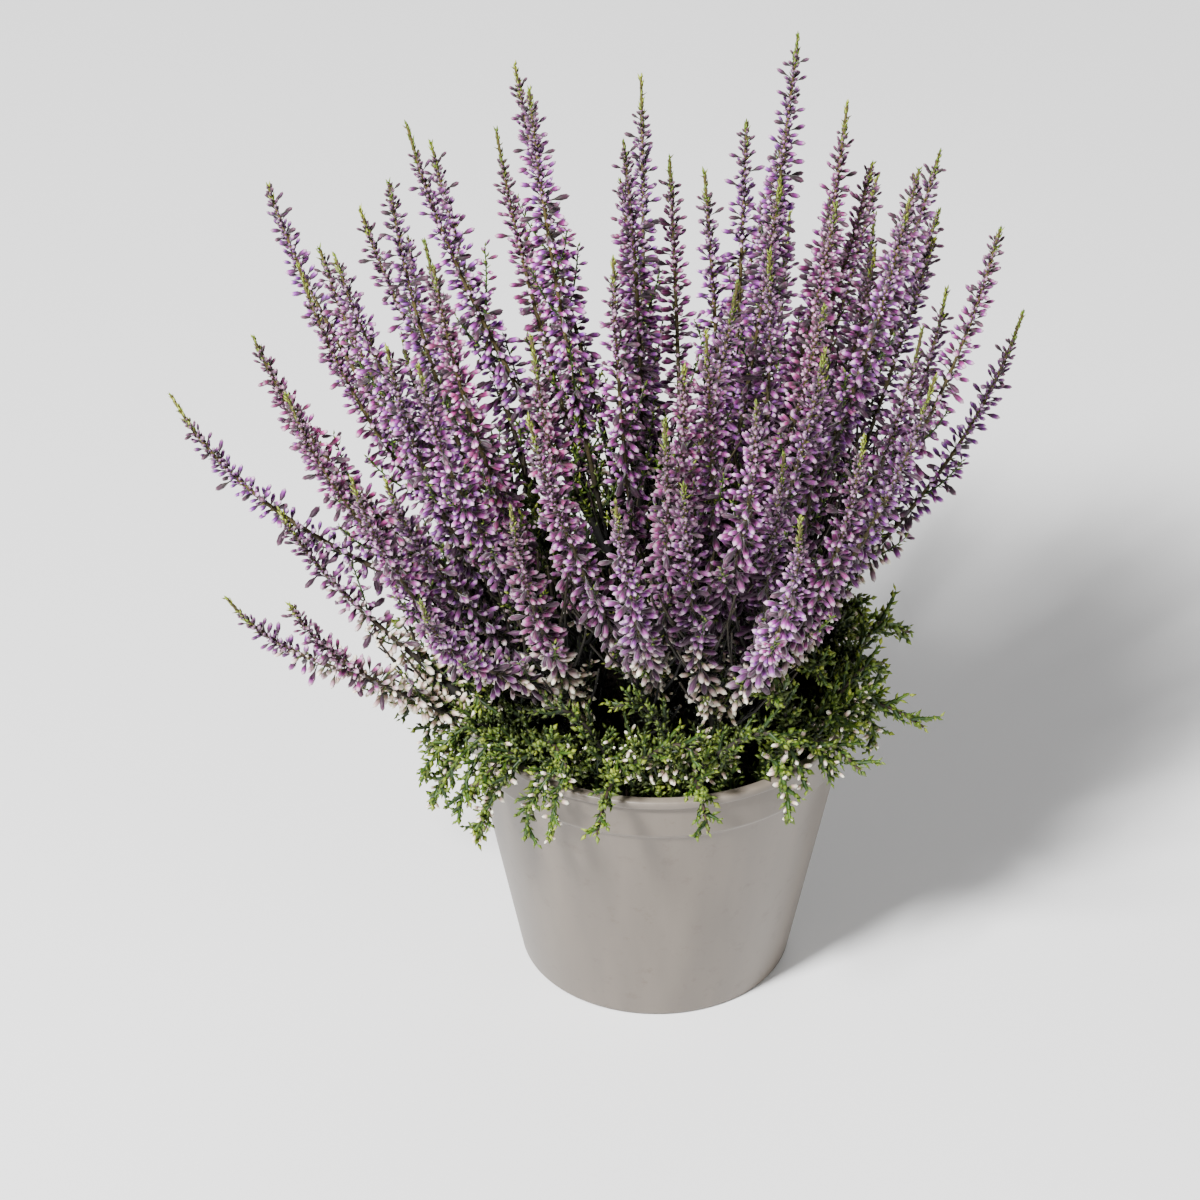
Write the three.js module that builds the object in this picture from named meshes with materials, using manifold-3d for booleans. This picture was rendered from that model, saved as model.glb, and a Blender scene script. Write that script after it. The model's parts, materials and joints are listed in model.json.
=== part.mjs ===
// Heather in bud, growing in a round plastic plant pot.
// Each flowering spray is a forked stem with three tapering spikes of buds, and stands in its own
// hole in the potting soil, as do the leafy tufts that fill the plant's foot and hang over the rim.
// Units are millimetres. Z points up, and the origin is the middle of the pot's underside.
import * as THREE from "three";
import { mergeVertices } from "three/addons/utils/BufferGeometryUtils.js";
import Module from "manifold-3d";

const wasm = await Module();
wasm.setup();

// The pot
const POT_HEIGHT = 82;
const LIP_RADIUS = 52.5;
const LIP_HEIGHT = 2.2;
const LIP_OVERHANG = 1.6;
const COLLAR_HEIGHT = 12;
const COLLAR_STEP = 1.4;
const FOOT_RADIUS = 36;
const FOOT_WIDTH = 6.5;
const PAD_RADIUS = 10;
const FLOOR_RAISE = 2;
const WALL = 1.2;
const POT_SIDES = 24;
const DRAIN_HOLES = 6;
const DRAIN_RADIUS = 3;
const DRAIN_CIRCLE = 20;

// The soil
const SOIL_TOP = 74;
const SOIL_LUMP = 0.6;
const FIT_GAP = 0.3;
const HOLE_DEPTH = 12;
const HOLE_SIDES = 5;
const HOLE_ROOM = 0.7;
const STEM_RISE = 5;

// The flowering sprays
const SPRAYS = 26;
const SPIKES_PER_SPRAY = 3;
const CROWN_RADIUS = 34;
const DOME_HEIGHT = 158;
const DOME_WIDTH = 103;
const DOME_DEPTH_SHARE = 0.9;
const DOME_SQUARENESS = 4;
const LEAN_LEFT = 15;
const LEAN_BACK = 8;
const EDGE_FALL = 73;
const EDGE_FALL_LEFT = 12;
const EDGE_FALL_BACK = 8;
const CROWDING = 0.62;
const TIP_SPREAD = 18;
const TIP_SHORTEST = -17;
const TIP_LONGEST = 9;
const SIDE_SPIKE_LACK = 5;
const SPIKE_RADIUS = 6.6;
const STEM_RADIUS = 1.5;
const STEM_STEPS = 12;
const SIDE_STEPS = 9;
const FIRST_FORK = 3;
const SWAY = 5;
const FLOWER_LENGTH = 76;
const FLOWER_START = 12;
const SHOOT_TIP = 12;
const WHORL_PITCH = 8;
const BUD_SLACK = 0.15;

// The leafy tufts
const RIM_TUFTS = 12;
const INNER_TUFTS = 3;
const RIM_TUFT_CIRCLE = 41.5;
const INNER_TUFT_CIRCLE = 22;
const RIM_TWIG_REACH = 29;
const RIM_TWIG_RISE = [48, 2];
const INNER_TWIG_REACH = 11;
const INNER_TWIG_RISE = [42, 56];
const TWIG_SPREAD = 0.4;
const TWIG_STEPS = 6;
const SIDE_TWIG_STEPS = 4;
const TWIG_FORK = 2;
const BARE_TWIG = 7;
const LEAF_RADIUS = 5;
const LEAF_PITCH = 11;
const TWIG_RADIUS = 1.1;

// How stems are bent clear of each other
const CLEAR_ROUNDS = 90;
const CLEAR_GAP = 0.8;
const KIN_SHARE = 0.7;
const KIN_JOINED = 4;
const LOOK_AROUND = 22;
const PUSH = 0.3;
const HARD_PUSH = 0.5;
const EVENNESS = 0.35;

const GOLDEN_ANGLE = Math.PI * (3 - Math.sqrt(5));
const RIGHT_ANGLE = Math.PI / 2;
const COLLAR_FOOT = POT_HEIGHT - COLLAR_HEIGHT;
const COLLAR_RADIUS = LIP_RADIUS - LIP_OVERHANG;

// Random numbers from 0 to 1, the same ones each run.
let seed = 4711;
function chance() {
  seed = (seed * 16807) % 2147483647;
  return seed / 2147483647;
}
const between = (low, high) => low + (high - low) * chance();
const mix = (a, b, share) => a + (b - a) * share;

const around = (radius, angle, z) =>
  new THREE.Vector3(radius * Math.cos(angle), radius * Math.sin(angle), z);

// A stem or twig as it grows: its points, how thick it is at each, and how freely it bends there.
function strand(points, thickness, group, parent = null, fork = 0) {
  const last = points.length - 1;
  return {
    group,
    parent,
    fork,
    points,
    grown: points.map((p) => p.clone()),
    thickness: points.map((_, i) => thickness(i / last)),
    freedom: points.map((_, i) => (parent ? 1 : Math.min(1, Math.max(0, i - 1) / 4))),
  };
}

// Where the tip of a shoot ends: share runs from 0 at the plant's middle to 1 at its edge.
// The plant leans to its left and back, so its edge reaches further out and lower there.
function domePoint(share, angle) {
  const left = -Math.cos(angle);
  const back = Math.sin(angle);
  const edge = EDGE_FALL + EDGE_FALL_LEFT * left + EDGE_FALL_BACK * back;
  const fall = THREE.MathUtils.degToRad(edge) * share ** CROWDING;
  const power = 2 / DOME_SQUARENESS;
  const width = (DOME_WIDTH + LEAN_LEFT * left + LEAN_BACK * back) * Math.sin(fall) ** power;
  const height = DOME_HEIGHT * Math.cos(fall) ** power;
  const tip = around(width, angle, POT_HEIGHT + height);
  return tip.setY(tip.y * DOME_DEPTH_SHARE);
}

// A curve from a stem's start to its tip that leans out at first and then turns up.
function growth(start, tip, sway, steps) {
  const out = new THREE.Vector3(tip.x - start.x, tip.y - start.y, 0);
  const reach = start.distanceTo(tip);
  const lean = Math.atan2(out.length(), tip.z - start.z);
  out.normalize();
  const leaning = (angle) => out.clone().multiplyScalar(Math.sin(angle)).setZ(Math.cos(angle));
  const side = new THREE.Vector3(-out.y, out.x, 0).multiplyScalar(sway);
  const first = leaning(Math.min(lean * 1.2, 1.05)).multiplyScalar(reach * 0.3);
  const last = leaning(lean * 0.5).multiplyScalar(reach * 0.38);
  return new THREE.CubicBezierCurve3(
    start,
    start.clone().add(first).add(side),
    tip.clone().sub(last).add(side),
    tip,
  ).getPoints(steps);
}

const spikeThickness = (t) => (t < 0.3 ? STEM_RADIUS * 1.5 : SPIKE_RADIUS * mix(1, 0.6, t));
const twigThickness = () => LEAF_RADIUS;

// A spray: one leading stem from the soil, with side stems that fork from it.
function spray(number) {
  const share = (number + 0.5) / SPRAYS;
  const angle = number * GOLDEN_ANGLE + between(-0.12, 0.12);
  const foot = around(CROWN_RADIUS * Math.sqrt(share), angle, SOIL_TOP - HOLE_DEPTH);
  const start = foot.clone().setZ(SOIL_TOP + STEM_RISE);
  const middle = domePoint(share, angle + between(-0.1, 0.1));
  const across = new THREE.Vector3(-Math.sin(angle), Math.cos(angle), 0);
  const along = middle.clone().sub(start).normalize();
  const up = new THREE.Vector3().crossVectors(along, across).normalize();
  const turn = between(0, 2 * Math.PI);
  const strands = [];
  for (let i = 0; i < SPIKES_PER_SPRAY; i++) {
    const a = turn + (i * 2 * Math.PI) / SPIKES_PER_SPRAY + between(-0.25, 0.25);
    const spread = TIP_SPREAD * between(0.8, 1.2);
    const tip = middle
      .clone()
      .addScaledVector(across, spread * Math.cos(a))
      .addScaledVector(up, spread * Math.sin(a))
      .addScaledVector(along, between(TIP_SHORTEST, TIP_LONGEST) - (i ? SIDE_SPIKE_LACK : 0));
    const sway = between(-SWAY, SWAY);
    if (i === 0) {
      const points = [foot, ...growth(start, tip, sway, STEM_STEPS)];
      strands.push(strand(points, spikeThickness, number));
    } else {
      const fork = FIRST_FORK + i - 1;
      const points = growth(strands[0].points[fork].clone(), tip, sway, SIDE_STEPS);
      strands.push(strand(points, spikeThickness, number, strands[0], fork));
    }
  }
  return strands;
}

// A curve that rises from the soil and hangs over the more, the further out it ends.
function arching(start, tip, steps) {
  const out = new THREE.Vector3(tip.x - start.x, tip.y - start.y, 0).multiplyScalar(0.35);
  const rise = new THREE.Vector3(0, 0, start.distanceTo(tip) * 0.4);
  return new THREE.CubicBezierCurve3(
    start,
    start.clone().add(rise).add(out),
    tip.clone().sub(out).addScaledVector(rise, 0.5),
    tip,
  ).getPoints(steps);
}

// A leafy tuft. Near the pot's wall, one twig hangs over the rim, and the others fork from it and
// stand up beside it. Between the sprays, all of them stand up.
function tuft(number) {
  const atRim = number < RIM_TUFTS;
  const count = atRim ? RIM_TUFTS : INNER_TUFTS;
  const circle = atRim ? RIM_TUFT_CIRCLE : INNER_TUFT_CIRCLE;
  const twigReach = atRim ? RIM_TWIG_REACH : INNER_TWIG_REACH;
  const rises = atRim ? RIM_TWIG_RISE : INNER_TWIG_RISE;
  const angle = ((number % RIM_TUFTS) + 0.5) * ((2 * Math.PI) / count) + between(-0.1, 0.1);
  const foot = around(circle, angle, SOIL_TOP - HOLE_DEPTH);
  const start = foot.clone().setZ(SOIL_TOP + STEM_RISE);
  const group = SPRAYS + number;
  const strands = [];
  for (const [out, side] of [[1, 0], [0.5, -1], [0.6, 1]]) {
    const reach = circle + twigReach * between(0.85, 1.15) * out;
    const tip = around(reach, angle + side * TWIG_SPREAD, POT_HEIGHT + mix(...rises, out));
    if (out === 1) {
      strands.push(strand([foot, ...arching(start, tip, TWIG_STEPS)], twigThickness, group));
    } else {
      const points = arching(strands[0].points[TWIG_FORK].clone(), tip, SIDE_TWIG_STEPS);
      strands.push(strand(points, twigThickness, group, strands[0], TWIG_FORK));
    }
  }
  return strands;
}

// The pot's section near the plant, as [radius, height] points from its inside to its foot.
const POT_EDGE = [
  [COLLAR_RADIUS - WALL, SOIL_TOP],
  [COLLAR_RADIUS - WALL, POT_HEIGHT],
  [LIP_RADIUS, POT_HEIGHT],
  [LIP_RADIUS, POT_HEIGHT - LIP_HEIGHT],
  [COLLAR_RADIUS, COLLAR_FOOT],
  [FOOT_RADIUS, 0],
].map(([r, z]) => new THREE.Vector3(r, z, 0));

// The nearest point of the pot to a point, as a vector from it, and the free distance.
function fromPot(point) {
  const flat = new THREE.Vector3(Math.hypot(point.x, point.y), point.z, 0);
  const nearest = new THREE.Vector3();
  const best = { distance: 1e9, away: new THREE.Vector3() };
  for (let i = 1; i < POT_EDGE.length; i++) {
    new THREE.Line3(POT_EDGE[i - 1], POT_EDGE[i]).closestPointToPoint(flat, true, nearest);
    const off = flat.clone().sub(nearest);
    if (off.length() >= best.distance) continue;
    best.distance = off.length();
    const outward = off.x / flat.x;
    best.away.set(point.x * outward, point.y * outward, off.y).normalize();
  }
  return best;
}

// Bends strands of different groups clear of each other, of the pot and of the soil.
// Each round moves every point that is too close, then evens out how far its neighbours moved.
function bendClear(strands) {
  const beads = strands.flatMap((s) => s.points.map((_, i) => ({ s, i, push: new THREE.Vector3() })));
  const at = (bead) => bead.s.points[bead.i];
  const room = (a, b) => {
    const shared = a.s.group === b.s.group ? KIN_SHARE : 1;
    return shared * (a.s.thickness[a.i] + b.s.thickness[b.i]) + CLEAR_GAP;
  };
  const pairs = [];
  beads.forEach((a, n) =>
    beads.slice(n + 1).forEach((b) => {
      const kin = a.s.group === b.s.group && (a.s === b.s || Math.min(a.i, b.i) < KIN_JOINED);
      if (kin || at(a).distanceTo(at(b)) > room(a, b) + LOOK_AROUND) return;
      pairs.push([a, b, room(a, b)]);
    }),
  );
  const gap = new THREE.Vector3();
  for (let round = 0; round < CLEAR_ROUNDS; round++) {
    for (const bead of beads) bead.push.set(0, 0, 0);
    for (const [a, b, need] of pairs) {
      gap.subVectors(at(a), at(b));
      const far = gap.length();
      if (far >= need) continue;
      gap.multiplyScalar((PUSH * (need - far)) / far);
      a.push.add(gap);
      b.push.sub(gap);
    }
    for (const bead of beads) {
      const reach = bead.s.thickness[bead.i] + CLEAR_GAP;
      const pot = fromPot(at(bead));
      const lack = reach - pot.distance;
      if (lack > 0) bead.push.addScaledVector(pot.away, HARD_PUSH * lack);
      const low = SOIL_TOP + reach - at(bead).z;
      const overSoil = Math.hypot(at(bead).x, at(bead).y) < LIP_RADIUS;
      if (low > 0 && overSoil) bead.push.z += HARD_PUSH * low;
    }
    for (const bead of beads) at(bead).addScaledVector(bead.push, bead.s.freedom[bead.i]);
    strands.forEach(evenOut);
  }
}

// Spreads each point's shift from where it grew over its neighbours, and keeps forks joined.
function evenOut(s) {
  if (s.parent) s.points[0].copy(s.parent.points[s.fork]);
  const shifts = s.points.map((p, i) => p.clone().sub(s.grown[i]));
  for (let i = 1; i < s.points.length; i++) {
    const after = shifts[Math.min(i + 1, shifts.length - 1)];
    const even = shifts[i - 1].clone().add(after).multiplyScalar(0.5);
    s.points[i].copy(s.grown[i]).add(shifts[i].lerp(even, EVENNESS * s.freedom[i]));
  }
}

// The place and direction at a distance along a strand's points.
function placeAlong(points, distance) {
  let left = distance;
  let i = 1;
  while (i < points.length - 1 && left > points[i].distanceTo(points[i - 1])) {
    left -= points[i].distanceTo(points[i - 1]);
    i += 1;
  }
  const share = Math.min(1, left / points[i].distanceTo(points[i - 1]));
  const before = points[Math.max(0, i - 2)];
  const after = points[Math.min(points.length - 1, i + 1)];
  const back = points[i].clone().sub(before).normalize();
  const ahead = after.clone().sub(points[i - 1]).normalize();
  return {
    at: points[i - 1].clone().lerp(points[i], share),
    heading: back.lerp(ahead, share).normalize(),
  };
}

const lengthOf = (points) => points.slice(1).reduce((sum, p, i) => sum + p.distanceTo(points[i]), 0);

// How thick a strand may be at a point: half the way to the nearest strand of another group, and
// the whole way to the pot or the soil, less a small gap.
function roomAt(point, group, strands) {
  let nearest = 1e9;
  const closest = new THREE.Vector3();
  for (const s of strands) {
    if (s.group === group) continue;
    for (let i = 1; i < s.points.length; i++) {
      new THREE.Line3(s.points[i - 1], s.points[i]).closestPointToPoint(point, true, closest);
      nearest = Math.min(nearest, closest.distanceTo(point));
    }
  }
  const overSoil = Math.hypot(point.x, point.y) < COLLAR_RADIUS ? point.z - SOIL_TOP - SOIL_LUMP : 1e9;
  return Math.min(nearest / 2, fromPot(point).distance, overSoil) - FIT_GAP;
}

// The rings of a strand, from its foot to its tip. A ring is a triangle round the strand, turned a
// little further each time, so that what stands out of it spirals up the strand.
function ringsOf(s, strands, sections) {
  const azimuth = Math.atan2(s.points.at(-1).y, s.points.at(-1).x);
  const side = new THREE.Vector3(-Math.sin(azimuth), Math.cos(azimuth), 0);
  return sections.map(({ distance, radius, rise = 0, loose = 0, free = false }, k) => {
    const { at, heading } = placeAlong(s.points, distance);
    const across = new THREE.Vector3().crossVectors(side, heading).normalize();
    const level = new THREE.Vector3().crossVectors(heading, across).normalize();
    const raised = at.clone().addScaledVector(heading, rise);
    const room = Math.min(roomAt(at, s.group, strands), roomAt(raised, s.group, strands));
    const fit = free ? radius : Math.max(Math.min(radius, room), 0.6);
    return [0, 1, 2].map((j) => {
      const angle = (j * 2 * Math.PI) / 3 + (k * Math.PI * 4) / 9;
      const reach = fit * (1 - loose * chance());
      return raised
        .clone()
        .addScaledVector(across, reach * Math.cos(angle))
        .addScaledVector(level, reach * Math.sin(angle));
    });
  });
}

// A closed skin over rings of three corners.
function skinOf(rings) {
  const faces = [[0, 2, 1]];
  for (let k = 0; k < rings.length - 1; k++) {
    for (let j = 0; j < 3; j++) {
      const a = k * 3 + j;
      const b = k * 3 + ((j + 1) % 3);
      faces.push([a, b, a + 3], [b, b + 3, a + 3]);
    }
  }
  const last = (rings.length - 1) * 3;
  faces.push([last, last + 1, last + 2]);
  const geometry = new THREE.BufferGeometry().setFromPoints(rings.flat());
  geometry.setIndex(faces.flat());
  return geometry;
}

// A flowering stem: bare low down, then whorls of three buds, then a short leafy tip. Each whorl is
// a narrow ring and a wide one, and the wide ring's corners are the buds.
function spikeSections(s) {
  const total = lengthOf(s.points);
  const end = total - SHOOT_TIP;
  const soil = s.parent ? 0 : HOLE_DEPTH;
  const start = Math.max(soil + FLOWER_START, end - FLOWER_LENGTH);
  const sections = [{ distance: 0, radius: STEM_RADIUS, free: true }];
  if (!s.parent) sections.push({ distance: HOLE_DEPTH + 3, radius: STEM_RADIUS, free: true });
  if (start > soil + 30) sections.push({ distance: mix(soil, start, 0.5), radius: STEM_RADIUS });
  const whorls = Math.round((end - start) / WHORL_PITCH);
  for (let i = 0; i < whorls; i++) {
    const u = i / whorls;
    const distance = mix(start, end, u);
    const radius = SPIKE_RADIUS * Math.min(1, 0.8 + u * 1.2) * mix(1, 0.45, u ** 2);
    sections.push({ distance, radius: mix(1.9, 1.1, u) });
    const rise = mix(-1.5, 2, u);
    sections.push({ distance: distance + 0.4 * WHORL_PITCH, radius, rise, loose: BUD_SLACK });
  }
  sections.push({ distance: end, radius: 1.2 }, { distance: total, radius: 0.7 });
  return sections;
}

// A twig with whorls of leaves that point up along it.
function twigSections(s) {
  const total = lengthOf(s.points);
  const start = s.parent ? BARE_TWIG : HOLE_DEPTH + 3;
  const sections = [{ distance: 0, radius: TWIG_RADIUS, free: true }];
  if (!s.parent) sections.push({ distance: start, radius: TWIG_RADIUS, free: true });
  const whorls = Math.round((total - start) / LEAF_PITCH);
  for (let i = 0; i < whorls; i++) {
    const u = i / whorls;
    const distance = mix(start + 1, total - 2, u);
    sections.push({ distance, radius: TWIG_RADIUS });
    const radius = LEAF_RADIUS * mix(1, 0.7, u);
    sections.push({ distance: distance + 0.4 * LEAF_PITCH, radius, rise: 1.5, loose: BUD_SLACK });
  }
  sections.push({ distance: total, radius: 0.6 });
  return sections;
}

// Solids for cutting and joining, and back to geometry.
function solidOf(geometry) {
  const bare = geometry.clone();
  bare.deleteAttribute("normal");
  bare.deleteAttribute("uv");
  const merged = mergeVertices(bare, 1e-4);
  const vertProperties = new Float32Array(merged.attributes.position.array);
  const triVerts = new Uint32Array(merged.index.array);
  return new wasm.Manifold(new wasm.Mesh({ numProp: 3, vertProperties, triVerts }));
}

function geometryOf(solid) {
  const mesh = solid.getMesh();
  const geometry = new THREE.BufferGeometry();
  geometry.setAttribute("position", new THREE.BufferAttribute(mesh.vertProperties, 3));
  geometry.setIndex(new THREE.BufferAttribute(mesh.triVerts, 1));
  geometry.computeVertexNormals();
  return geometry;
}

// A closed outline of [radius, height] points turned about Z.
function turned(outline) {
  const points = outline.map(([r, z]) => new THREE.Vector2(r, z));
  return new THREE.LatheGeometry(points, POT_SIDES).rotateX(RIGHT_ANGLE);
}

// A short upright prism, for cutting holes.
function peg(radius, sides, low, high, place) {
  const geometry = new THREE.CylinderGeometry(radius, radius, high - low, sides);
  return solidOf(geometry.rotateX(RIGHT_ANGLE).translate(place.x, place.y, (low + high) / 2));
}

// The pot: a tapered wall with a stepped collar and a small lip, and a floor that stands on an
// outer ring and a middle pad, with drain holes in the raised channel between them.
function pot() {
  const floor = FLOOR_RAISE + WALL;
  const outline = [
    [0, 0],
    [PAD_RADIUS, 0],
    [PAD_RADIUS + 1.5, FLOOR_RAISE],
    [FOOT_RADIUS - FOOT_WIDTH - 1.5, FLOOR_RAISE],
    [FOOT_RADIUS - FOOT_WIDTH, 0],
    [FOOT_RADIUS, 0],
    [COLLAR_RADIUS - COLLAR_STEP, COLLAR_FOOT - 1],
    [COLLAR_RADIUS, COLLAR_FOOT],
    [COLLAR_RADIUS, POT_HEIGHT - LIP_HEIGHT],
    [LIP_RADIUS, POT_HEIGHT - LIP_HEIGHT],
    [LIP_RADIUS, POT_HEIGHT],
    [COLLAR_RADIUS - WALL, POT_HEIGHT],
    [COLLAR_RADIUS - WALL, COLLAR_FOOT],
    [COLLAR_RADIUS - COLLAR_STEP - WALL, COLLAR_FOOT - 1],
    [FOOT_RADIUS - WALL, floor],
    [0, floor],
  ];
  let body = solidOf(turned(outline));
  for (let i = 0; i < DRAIN_HOLES; i++) {
    const place = around(DRAIN_CIRCLE, (i * 2 * Math.PI) / DRAIN_HOLES, 0);
    body = body.subtract(peg(DRAIN_RADIUS, 8, -1, floor + 1, place));
  }
  return geometryOf(body);
}

// The root ball: it fills the pot from the floor up, with a lumpy top and a plain hole for each
// stem.
function soil(stems) {
  const gap = WALL + FIT_GAP;
  const floor = FLOOR_RAISE + gap;
  const outline = [
    [0, floor],
    [FOOT_RADIUS - gap, floor],
    [COLLAR_RADIUS - COLLAR_STEP - gap, COLLAR_FOOT - 0.8],
    [COLLAR_RADIUS - gap, COLLAR_FOOT + 0.2],
    [COLLAR_RADIUS - gap, SOIL_TOP - 1],
    [COLLAR_RADIUS - gap - 2, SOIL_TOP],
    [24, SOIL_TOP],
    [0, SOIL_TOP],
  ];
  const geometry = turned(outline);
  const position = geometry.getAttribute("position");
  for (let i = 0; i < position.count; i++) {
    const x = position.getX(i);
    const y = position.getY(i);
    if (position.getZ(i) < SOIL_TOP - 0.01) continue;
    const lump = Math.sin(x * 0.31 + 1) * Math.cos(y * 0.27);
    position.setZ(i, SOIL_TOP + SOIL_LUMP * lump);
  }
  let body = solidOf(geometry);
  for (const { foot, radius } of stems) {
    const bottom = SOIL_TOP - HOLE_DEPTH - FIT_GAP;
    body = body.subtract(peg(radius + HOLE_ROOM, HOLE_SIDES, bottom, SOIL_TOP + 3, foot));
  }
  return geometryOf(body);
}

const look = (color, roughness) => new THREE.MeshStandardMaterial({ color, roughness, metalness: 0 });
const budLook = look(0xa985b0, 0.75);
const leafLook = look(0x5d7a2c, 0.8);
const potLook = look(0xaaa49c, 0.5);
const soilLook = look(0x3a2a1e, 0.95);

const heather = new THREE.Group();
function place(name, geometry, material) {
  const mesh = new THREE.Mesh(geometry, material);
  mesh.name = name;
  heather.add(mesh);
}

// One solid for each spray or tuft, with its strands grown into each other. Where buds meet they can
// shut in a pocket of air, which splits off as a body of its own, so the largest body is kept.
function placeEach(name, groups, sections, material, strands) {
  groups.forEach((group, i) => {
    const skins = group.map((s) => solidOf(skinOf(ringsOf(s, strands, sections(s)))));
    const bodies = skins.reduce((whole, skin) => whole.add(skin)).decompose();
    const largest = bodies.reduce((a, b) => (a.volume() > b.volume() ? a : b));
    place(`${name}_${String(i + 1).padStart(2, "0")}`, geometryOf(largest), material);
  });
}

const sprays = Array.from({ length: SPRAYS }, (_, i) => spray(i));
const tufts = Array.from({ length: RIM_TUFTS + INNER_TUFTS }, (_, i) => tuft(i));
const strands = [...sprays.flat(), ...tufts.flat()];
bendClear(strands);

const stems = [
  ...sprays.map((group) => ({ foot: group[0].points[0], radius: STEM_RADIUS })),
  ...tufts.map((group) => ({ foot: group[0].points[0], radius: TWIG_RADIUS })),
];
place("pot", pot(), potLook);
place("soil", soil(stems), soilLook);
placeEach("flowering_spray", sprays, spikeSections, budLook, strands);
placeEach("leafy_tuft", tufts, twigSections, leafLook, strands);

export default heather;
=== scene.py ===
# %% [markdown]
# # A potted heather
#
# This lesson dresses a heather in bud, which grows in a round plastic pot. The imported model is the
# frame: it gives every stem its place. Around it we grow the fine things that the plain solids
# leave out, such as thousands of single buds, scale-like leaves, bark, crumbs of soil and the
# rounded edges of the pot.
#
# A plant is made of very few shapes that repeat, so the lesson has two main tools. A *growth rule*
# says where each stem runs, and *Geometry Nodes* set buds and leaves along those stems.

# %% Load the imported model
import math

import bmesh
import bpy
import numpy as np
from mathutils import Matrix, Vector, noise
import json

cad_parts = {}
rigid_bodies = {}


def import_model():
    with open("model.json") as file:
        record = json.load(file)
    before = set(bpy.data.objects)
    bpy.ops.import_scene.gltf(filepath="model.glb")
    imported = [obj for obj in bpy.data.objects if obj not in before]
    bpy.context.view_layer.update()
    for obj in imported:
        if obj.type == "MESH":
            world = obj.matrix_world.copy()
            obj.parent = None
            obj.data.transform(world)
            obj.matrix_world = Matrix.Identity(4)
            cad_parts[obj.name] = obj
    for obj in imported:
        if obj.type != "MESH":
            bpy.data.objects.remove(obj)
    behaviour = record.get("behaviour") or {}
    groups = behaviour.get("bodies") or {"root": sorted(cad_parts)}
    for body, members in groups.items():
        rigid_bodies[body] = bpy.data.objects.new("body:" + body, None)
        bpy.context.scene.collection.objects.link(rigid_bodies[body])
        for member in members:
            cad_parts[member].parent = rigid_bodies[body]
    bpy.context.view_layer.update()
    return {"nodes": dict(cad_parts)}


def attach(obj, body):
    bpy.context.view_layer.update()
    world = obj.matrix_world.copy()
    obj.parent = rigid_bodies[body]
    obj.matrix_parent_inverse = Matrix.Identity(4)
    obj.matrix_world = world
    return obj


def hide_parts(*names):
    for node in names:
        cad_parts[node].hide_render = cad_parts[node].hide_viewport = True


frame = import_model()
MM = 0.001
print("Nodes in the frame:", len(frame["nodes"]))

# %% [markdown]
# ## Camera
#
# Product pictures of plants are taken from a little above with a long lens, which keeps upright
# stems from leaning apart. The camera could be placed by hand, but a place that is worked out from
# an angle and a distance is easier to change: we aim at the middle of the plant and step back along
# the line of sight.

# %% Camera
LENS = 150
CAMERA_DISTANCE = 1.3
CAMERA_ELEVATION = math.radians(34)
aim = Vector((-0.015, 0.0, 0.109))


def in_scene(name, data):
    """A new object that shows these data in the scene."""
    thing = bpy.data.objects.new(name, data)
    bpy.context.scene.collection.objects.link(thing)
    return thing


camera = in_scene("camera", bpy.data.cameras.new("camera"))
camera.data.lens = LENS
back = Vector((0, -math.cos(CAMERA_ELEVATION), math.sin(CAMERA_ELEVATION)))
camera.location = aim + back * CAMERA_DISTANCE
camera.rotation_euler = (-back).to_track_quat("-Z", "Y").to_euler()
bpy.context.scene.camera = camera
print("Width of the view in mm:", round(camera.data.sensor_width / LENS * CAMERA_DISTANCE / MM))

# %% [markdown]
# ## Node helper
#
# Both finishes and repeated parts are node trees. Written out in full, each node takes three or
# four lines, which hides the idea. A small helper adds a node and its wires in one call, and a
# colour is written the way a paint chart gives it, then turned into the linear values that Blender
# works with.


# %% A helper that builds node trees
class Recipe:
    """A node tree being written: every call adds one node and wires its inputs."""

    def __init__(self, tree):
        self.tree = tree

    def add(self, kind, feeds=None, **settings):
        node = self.tree.nodes.new(kind)
        for key, value in settings.items():
            setattr(node, key, value)
        for place, value in (feeds or {}).items():
            if isinstance(value, bpy.types.NodeSocket):
                self.tree.links.new(value, node.inputs[place])
            else:
                node.inputs[place].default_value = value
        return node

    def sum(self, operation, first, second=0.0):
        feeds = {0: first, 1: second}
        return self.add("ShaderNodeMath", feeds, operation=operation).outputs[0]

    def mix(self, share, first, second):
        feeds = {0: share, 6: first, 7: second}
        return self.add("ShaderNodeMix", feeds, data_type="RGBA").outputs[2]


def paint(red, green, blue):
    """A colour chart's 0 to 255 values as the linear colour that Blender mixes."""
    chart = np.array([red, green, blue]) / 255
    linear = np.where(chart <= 0.04045, chart / 12.92, ((chart + 0.055) / 1.055) ** 2.4)
    return (*linear.tolist(), 1.0)


print("Middle grey on the chart is linear", round(paint(128, 128, 128)[0], 3))

# %% [markdown]
# ## Studio
#
# The plant stands on a plain pale floor. One strong lamp up on the left gives the buds a light
# side, two weak and wider ones, on the right and behind, keep the other sides readable, and a pale
# world fills the rest. Light from few directions leaves the inside of the plant dark, and that
# depth is what makes a bush look full.


# %% Studio
def area_lamp(name, place, size, power):
    lamp = bpy.data.lights.new(name, "AREA")
    lamp.shape = "DISK"
    lamp.size = size
    lamp.energy = power
    holder = in_scene(name, lamp)
    holder.location = place
    holder.rotation_euler = (aim - Vector(place)).to_track_quat("-Z", "Y").to_euler()


area_lamp("main_lamp", (-0.9, -1.1, 1.7), 0.4, 145)
area_lamp("side_lamp", (1.5, -0.9, 1.0), 1.2, 9)
area_lamp("back_lamp", (0.5, 1.6, 1.5), 1.2, 10)

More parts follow.
